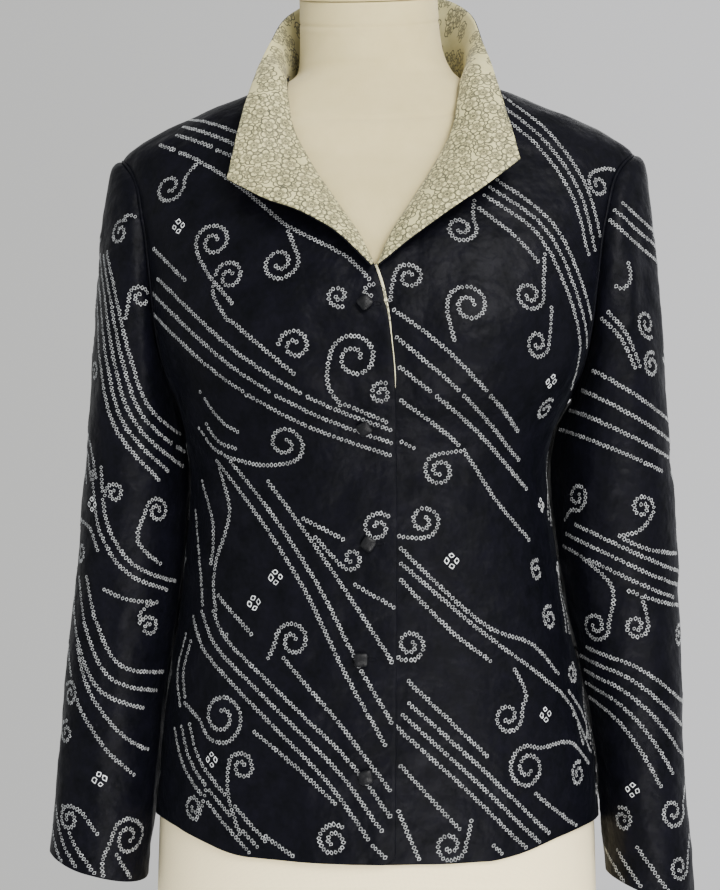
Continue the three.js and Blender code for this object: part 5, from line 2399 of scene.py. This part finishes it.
BACK_FOLDS += folds("""
1.5 10: -150 1075, -110 1050, -70 1045
1.5 10: 150 1080, 112 1055, 75 1048
-1.5 8: -125 975, -60 955, 10 962
-1.4 8: 120 965, 70 945, 0 950
-1.1 7: -100 930, -40 920, 30 932
-1 10: -110 1240, -70 1215, -40 1200
-1 10: 110 1240, 70 1212, 40 1195
-1.2 8: -155 1150, -140 1100, -145 1060
-1.2 8: 155 1150, 142 1105, 146 1065
""", View.BACK)
RIGHT_RINGS = pattern("""
1: -172 1240, -140 1225, -102 1200, -60 1165, -15 1140, 10 1115
3 8.5 1.2: -156 1256, -124 1243, -90 1226
1: -172 1155, -140 1125
3 12 0.75: -176 1122, -100 1058, -42 1024, 22 1000
1: -110 1100, -50 1050
1: -20 1032, 20 1015
1: -78 975, -40 925, 22 835
2 9 1.4: -114 990, -76 943, -41 891, -11 833, 22 777
1: -50 945, -15 928
1: -12 897, 22 878
3 10 1.15: -132 872, -120 848, -95 825, -55 790, -20 757, 14 712
1: -65 842, -40 815, -20 793, 20 742
1: -88 786, -50 758, -20 732
1: -120 887, -85 853
3 8: -149 785, -138 755, -110 725, -80 696
1: -90 716, -52 692
1: -5 714, 18 692
1: -119 990, -108 948, -121 902, -117 868, -100 842
1: -134 976, -122 935, -124 905
1: -140 950, -134 905, -127 862, -110 836
2 6: -143 852, -150 822, -146 792
1: -130 1042, -112 1018, -96 1008
2 7: -132 1018, -118 1000, -98 992
-158 1202 15 -1.4 30: -136 1220
-118 1155 15 -1.5 180: -100 1105, -125 1135
-104 1127 13 -1.5 190: -103 1092, -116 1112
-65 1136 16 -1.6 50: -60 1162
-20 1110 9 -1.4 -60
4 1112 7 0.7 60
-52 1073 13 -1.4 180
-8 1064 19 -1.6 190: -18 1028, -28 1045
12 1038 9 1.4 60
-62 1001 16 1.5 -90: -112 992, -84 985
8 938 12 1.4 40
-12 915 9 1.2 -140: -40 932
-56 853 15 -1.5 190: -76 838
-112 793 22 1.8 190: -146 800
-95 757 12 -1.5 190: -96 705, -106 735
-135 722 10 -1.4 -70: -124 738
-24 707 13 1.6 50
: -148 1169, -70 900, -87 880, -120 760
""")
RIGHT_RINGS += slanting_pattern(View.RIGHT, (-26, 8), (1005, 730), 9)
RIGHT_FOLDS = folds("""
-0.9 1.3: -143 1042, -128 1027, -114 1013
-0.8 1.3: -115 992, -121 940, -131 850
""", sharp=True)
RIGHT_FOLDS += folds("""
-2.6 8: -152 1080, -147 1058, -140 1038
1.6 8: -168 1105, -140 1072, -112 1058
1.1 9: -128 1020, -100 985, -60 972
-1.1 6: -122 975, -90 958, -45 955
-0.8 7: -135 905, -100 900, -60 915
-0.7 8: -150 800, -120 790, -85 805
-0.9 12: -60 1185, -90 1165, -125 1160
-0.7 6: -20 900, -16 860, -25 800
-0.6 7: -70 745, -40 735, -5 745
""")
LEFT_RINGS = pattern("""
3 8 0.7: 90 1197, 132 1165, 154 1125, 167 1078, 161 1040
1: 75 1185, 110 1157, 130 1135
3 8 0.8: 94 1272, 134 1236, 160 1196, 174 1146
1: 18 1102, 56 1073, 98 1030, 115 1008
1: 20 1082, 75 1034, 117 985
1: 22 1060, 80 1012, 121 965
1: 22 1036, 68 1000, 97 957, 123 926
1: 24 1004, 40 995
1: 22 926, 50 898, 92 862, 124 848, 146 822
1: 22 914, 83 862, 133 822, 152 802, 172 757
1: 22 902, 66 858, 96 835
2 6: 148 812, 161 790, 168 766
1: 27 828, 92 766
3 9.5: 24 802, 78 753, 132 697
1: 22 766, 71 713
1: 124 739, 160 705
1: 22 733, 40 692
1: 92 704, 102 693
121 1112 13 -1.6 20: 133 1145
127 1076 12 -1.5 10: 138 1105
176 1202 11 1.4 100: 198 1204, 188 1216
70 1162 13 -1.6 40: 80 1186
32 1124 12 -1.5 190: 18 1105
76 1103 17 -1.6 195: 66 1075
54 981 13 1.6 80: 74 996
42 943 13 1.5 -90: 22 932
32 851 12 1.5 -100: 22 842
105 796 13 -1.5 20: 110 832, 119 812
120 757 18 1.8 50: 170 750, 153 772
160 746 10 1.5 60
62 703 13 -1.5 10: 78 722
128 903 9 1.3 60
138 866 10 1.5 60
156 822 9 -1.5 60
134 1027 10 1.4 60
: 63 913, 134 795, 132 953, 138 1048
""")
LEFT_RINGS += slanting_pattern(View.LEFT, (8, -26), (1000, 730), 9)
LEFT_FOLDS = folds("""
-0.8 1.3: 120 1012, 128 940, 136 868
""", sharp=True)
LEFT_FOLDS += folds("""
-2.6 8: 165 1055, 160 1032, 152 1012
-1 6: 107 1052, 125 1026, 141 1004
1.5 8: 172 1100, 150 1070, 125 1060
-1 7: 60 975, 95 962, 125 975
-0.8 7: 125 900, 100 890, 60 900
-0.8 8: 155 800, 120 785, 85 800
-0.9 12: 50 1190, 90 1170, 130 1165
-0.7 7: 60 740, 95 728, 130 740
-0.7 7: 30 1000, 60 985, 85 990
""")
RIGHT_SLEEVE_RINGS = pattern("""
5 4.6 1.9: -222 1156, -211 1110, -202 1066, -188 1022, -154 982
3 5.5: -238 1016, -228 992, -222 968
2 8.5 0.9: -218 985, -212 938, -192 905, -160 886
1: -239 942, -224 934, -214 912
1: -214 888, -190 878, -170 876
3 8.5 1.7: -236 898, -224 850, -206 818, -172 803
2 10 1.9: -246 868, -230 808, -205 770, -180 744
3 8 1.2: -254 716, -243 686, -222 656
1: -202 682, -190 656
-200 1168 11 1.4 60: -186 1180, -196 1182
-182 1116 10 -1.4 200: -193 1098
-222 1058 9 -1.2 170
-233 915 9 1.2 -150
-202 962 9 -1.4 200
-170 948 11 -1.6 180: -168 905, -184 925
-177 856 9 -1.4 160: -170 876, -182 870
-240 802 11 -1.5 150
-243 772 10 1.4 90
-238 706 10 1.4 90: -214 694, -228 712
-193 690 17 -1.7 180: -208 652, -211 672
: -222 953, -213 738
""")
RIGHT_SLEEVE_RINGS += slanting_pattern(View.RIGHT, (-22, 46), (1170, 720), 12)
RIGHT_SLEEVE_RINGS += slanting_pattern(View.BACK, (-170, -235), (1130, 720), 12)
RIGHT_SLEEVE_FOLDS = folds("""
-0.8 1.3: -203 1188, -203 1000, -206 930, -218 862, -221 780, -226 675
""", sharp=True)
RIGHT_SLEEVE_FOLDS += folds("""
-1.7 6: -188 1150, -187 1050, -189 957
-1.3 6: -200 900, -206 845, -209 790
1.4 6: -212 1180, -208 1130, -213 1080
-1.2 6: -226 1170, -226 1120, -230 1070
-1.5 7: -160 1000, -185 975, -215 965
-1.6 7: -165 905, -190 885, -220 880
-1.3 6: -168 870, -195 855, -225 860
-1 7: -180 760, -205 745, -235 750
""")
RIGHT_SLEEVE_FOLDS += folds("""
-1.6 9: -30 1010, 0 985, 30 1000
-1.6 8: 25 905, 0 880, -40 885
""", View.RIGHT)
RIGHT_SLEEVE_FOLDS += folds("""
-1.6 8: -220 900, -195 880, -165 895
-1.6 7: -215 1090, -200 1040, -205 990
""", View.BACK)
LEFT_SLEEVE_RINGS = pattern("""
3 8.5 1.2: 186 1184, 206 1168, 234 1152
2 7 0.6: 178 1102, 194 1084, 206 1058
4 17 0.72: 158 1036, 198 1016, 238 994
3 10: 152 930, 186 914, 214 901, 242 889
1: 190 930, 212 920, 242 914
1: 195 889, 220 880, 244 873
5 9 1.5: 158 826, 196 810, 222 786, 246 752
2 9: 184 688, 200 664, 220 640
1: 201 696, 220 670, 240 642
1: 184 1124, 194 1120, 200 1128, 198 1142
213 1094 12 -1.5 -60
217 1062 11 1.5 60
160 960 12 1.5 -120: 151 940
209 952 10 1.5 -30: 190 930, 207 934
174 860 13 -1.6 10: 162 914, 186 890
204 861 10 -1.5 20: 208 884
240 850 9 1.4 60
194 711 10 -1.5 120
232 718 13 -1.5 20: 247 742
237 676 11 -1.5 20: 247 698
: 201 735, 176 1130
""")
LEFT_SLEEVE_RINGS += slanting_pattern(View.LEFT, (-22, 44), (1165, 720), 12)
LEFT_SLEEVE_RINGS += slanting_pattern(View.BACK, (235, 170), (1120, 720), 12)
LEFT_SLEEVE_FOLDS = folds("""
-1.6 6: 215 1185, 212 1140, 214 1090
1.4 6: 203 1160, 200 1115, 198 1070
1 6: 226 1160, 228 1110, 232 1060
-1.2 7: 160 1000, 190 985, 225 990
-1.5 7: 158 905, 190 890, 225 895
-1.2 6: 165 870, 195 862, 228 872
-1 7: 178 780, 205 765, 240 772
""")
LEFT_SLEEVE_FOLDS += folds("""
-1.6 9: -30 1000, 0 982, 30 990
-1.6 8: -25 900, 0 880, 40 890
""", View.LEFT)
LEFT_SLEEVE_FOLDS += folds("""
-1.6 8: 225 900, 195 882, 165 897
-1.6 7: 212 1095, 200 1045, 205 990
""", View.BACK)


# ---- The jacket ------------------------------------------------------
@dataclass
class Jacket:
    """The whole jacket: its panels, sleeves, collar, facing and buttons."""

    back: Back = field(
        default_factory=lambda: Back(
            "back", "jacket_back", (0.49, 0.64), 0.2614, 23, BACK_FOLDS, BACK_RINGS,
        )
    )
    front_left: Front = field(
        default_factory=lambda: Front(
            "front_left", "jacket_front_left", (0.265, 0.64), 0.1376, 22, LEFT_FOLDS, LEFT_RINGS,
            side=Side.LEFT,
        )
    )
    front_right: Front = field(
        default_factory=lambda: Front(
            "front_right", "jacket_front_right", (0.265, 0.64), 0.1403, 21, RIGHT_FOLDS, RIGHT_RINGS,
            side=Side.RIGHT,
        )
    )
    sleeve_right: Sleeve = field(
        default_factory=lambda: Sleeve(
            "sleeve_of_right", "sleeve_right", (0.37, 0.57), 0.1473, 24, RIGHT_SLEEVE_FOLDS,
            RIGHT_SLEEVE_RINGS, wrap=True, side=Side.RIGHT, cuff_tilt=23.0,
        )
    )
    sleeve_left: Sleeve = field(
        default_factory=lambda: Sleeve(
            "sleeve_of_left", "sleeve_left", (0.375, 0.58), 0.15, 25, LEFT_SLEEVE_FOLDS,
            LEFT_SLEEVE_RINGS, wrap=True, side=Side.LEFT, cuff_tilt=-22.0, pull_out=0.25,
        )
    )
    collar: Collar = field(default_factory=Collar)
    facing: Facing = field(default_factory=Facing)
    buttons: tuple[Button, ...] = (
        Button(1, 0, 1104, 40),
        Button(2, -1, 1013, 28),
        Button(3, 1, 926, -32),
        Button(4, -4, 840, 2),
        Button(5, 0, 754.5, 14),
    )

    def build(self, finishes: Finishes) -> None:
        """Makes every piece of the jacket, the panels first.

        Args:
            finishes: the object's materials.
        """
        self.back.build(finishes)
        self.front_left.build(finishes)
        cloth = self.front_right.build(finishes)
        self.sleeve_right.build(finishes)
        self.sleeve_left.build(finishes)
        self.collar.build(finishes)
        self.facing.build(finishes)
        for button in self.buttons:
            button.build(finishes, cloth)


def main() -> None:
    """Sets the studio, then builds the dress form and the jacket."""
    logging.basicConfig(level=logging.INFO, format="%(name)s: %(message)s")
    Studio().build()
    finishes = Finishes()
    DressForm().build(finishes)
    Jacket().build(finishes)
    boxes = {"cad": CAD_BOX, "visual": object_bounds()}
    {key: [list(corner) for corner in box] for key, box in boxes.items()}


if __name__ == "__main__":
    main()
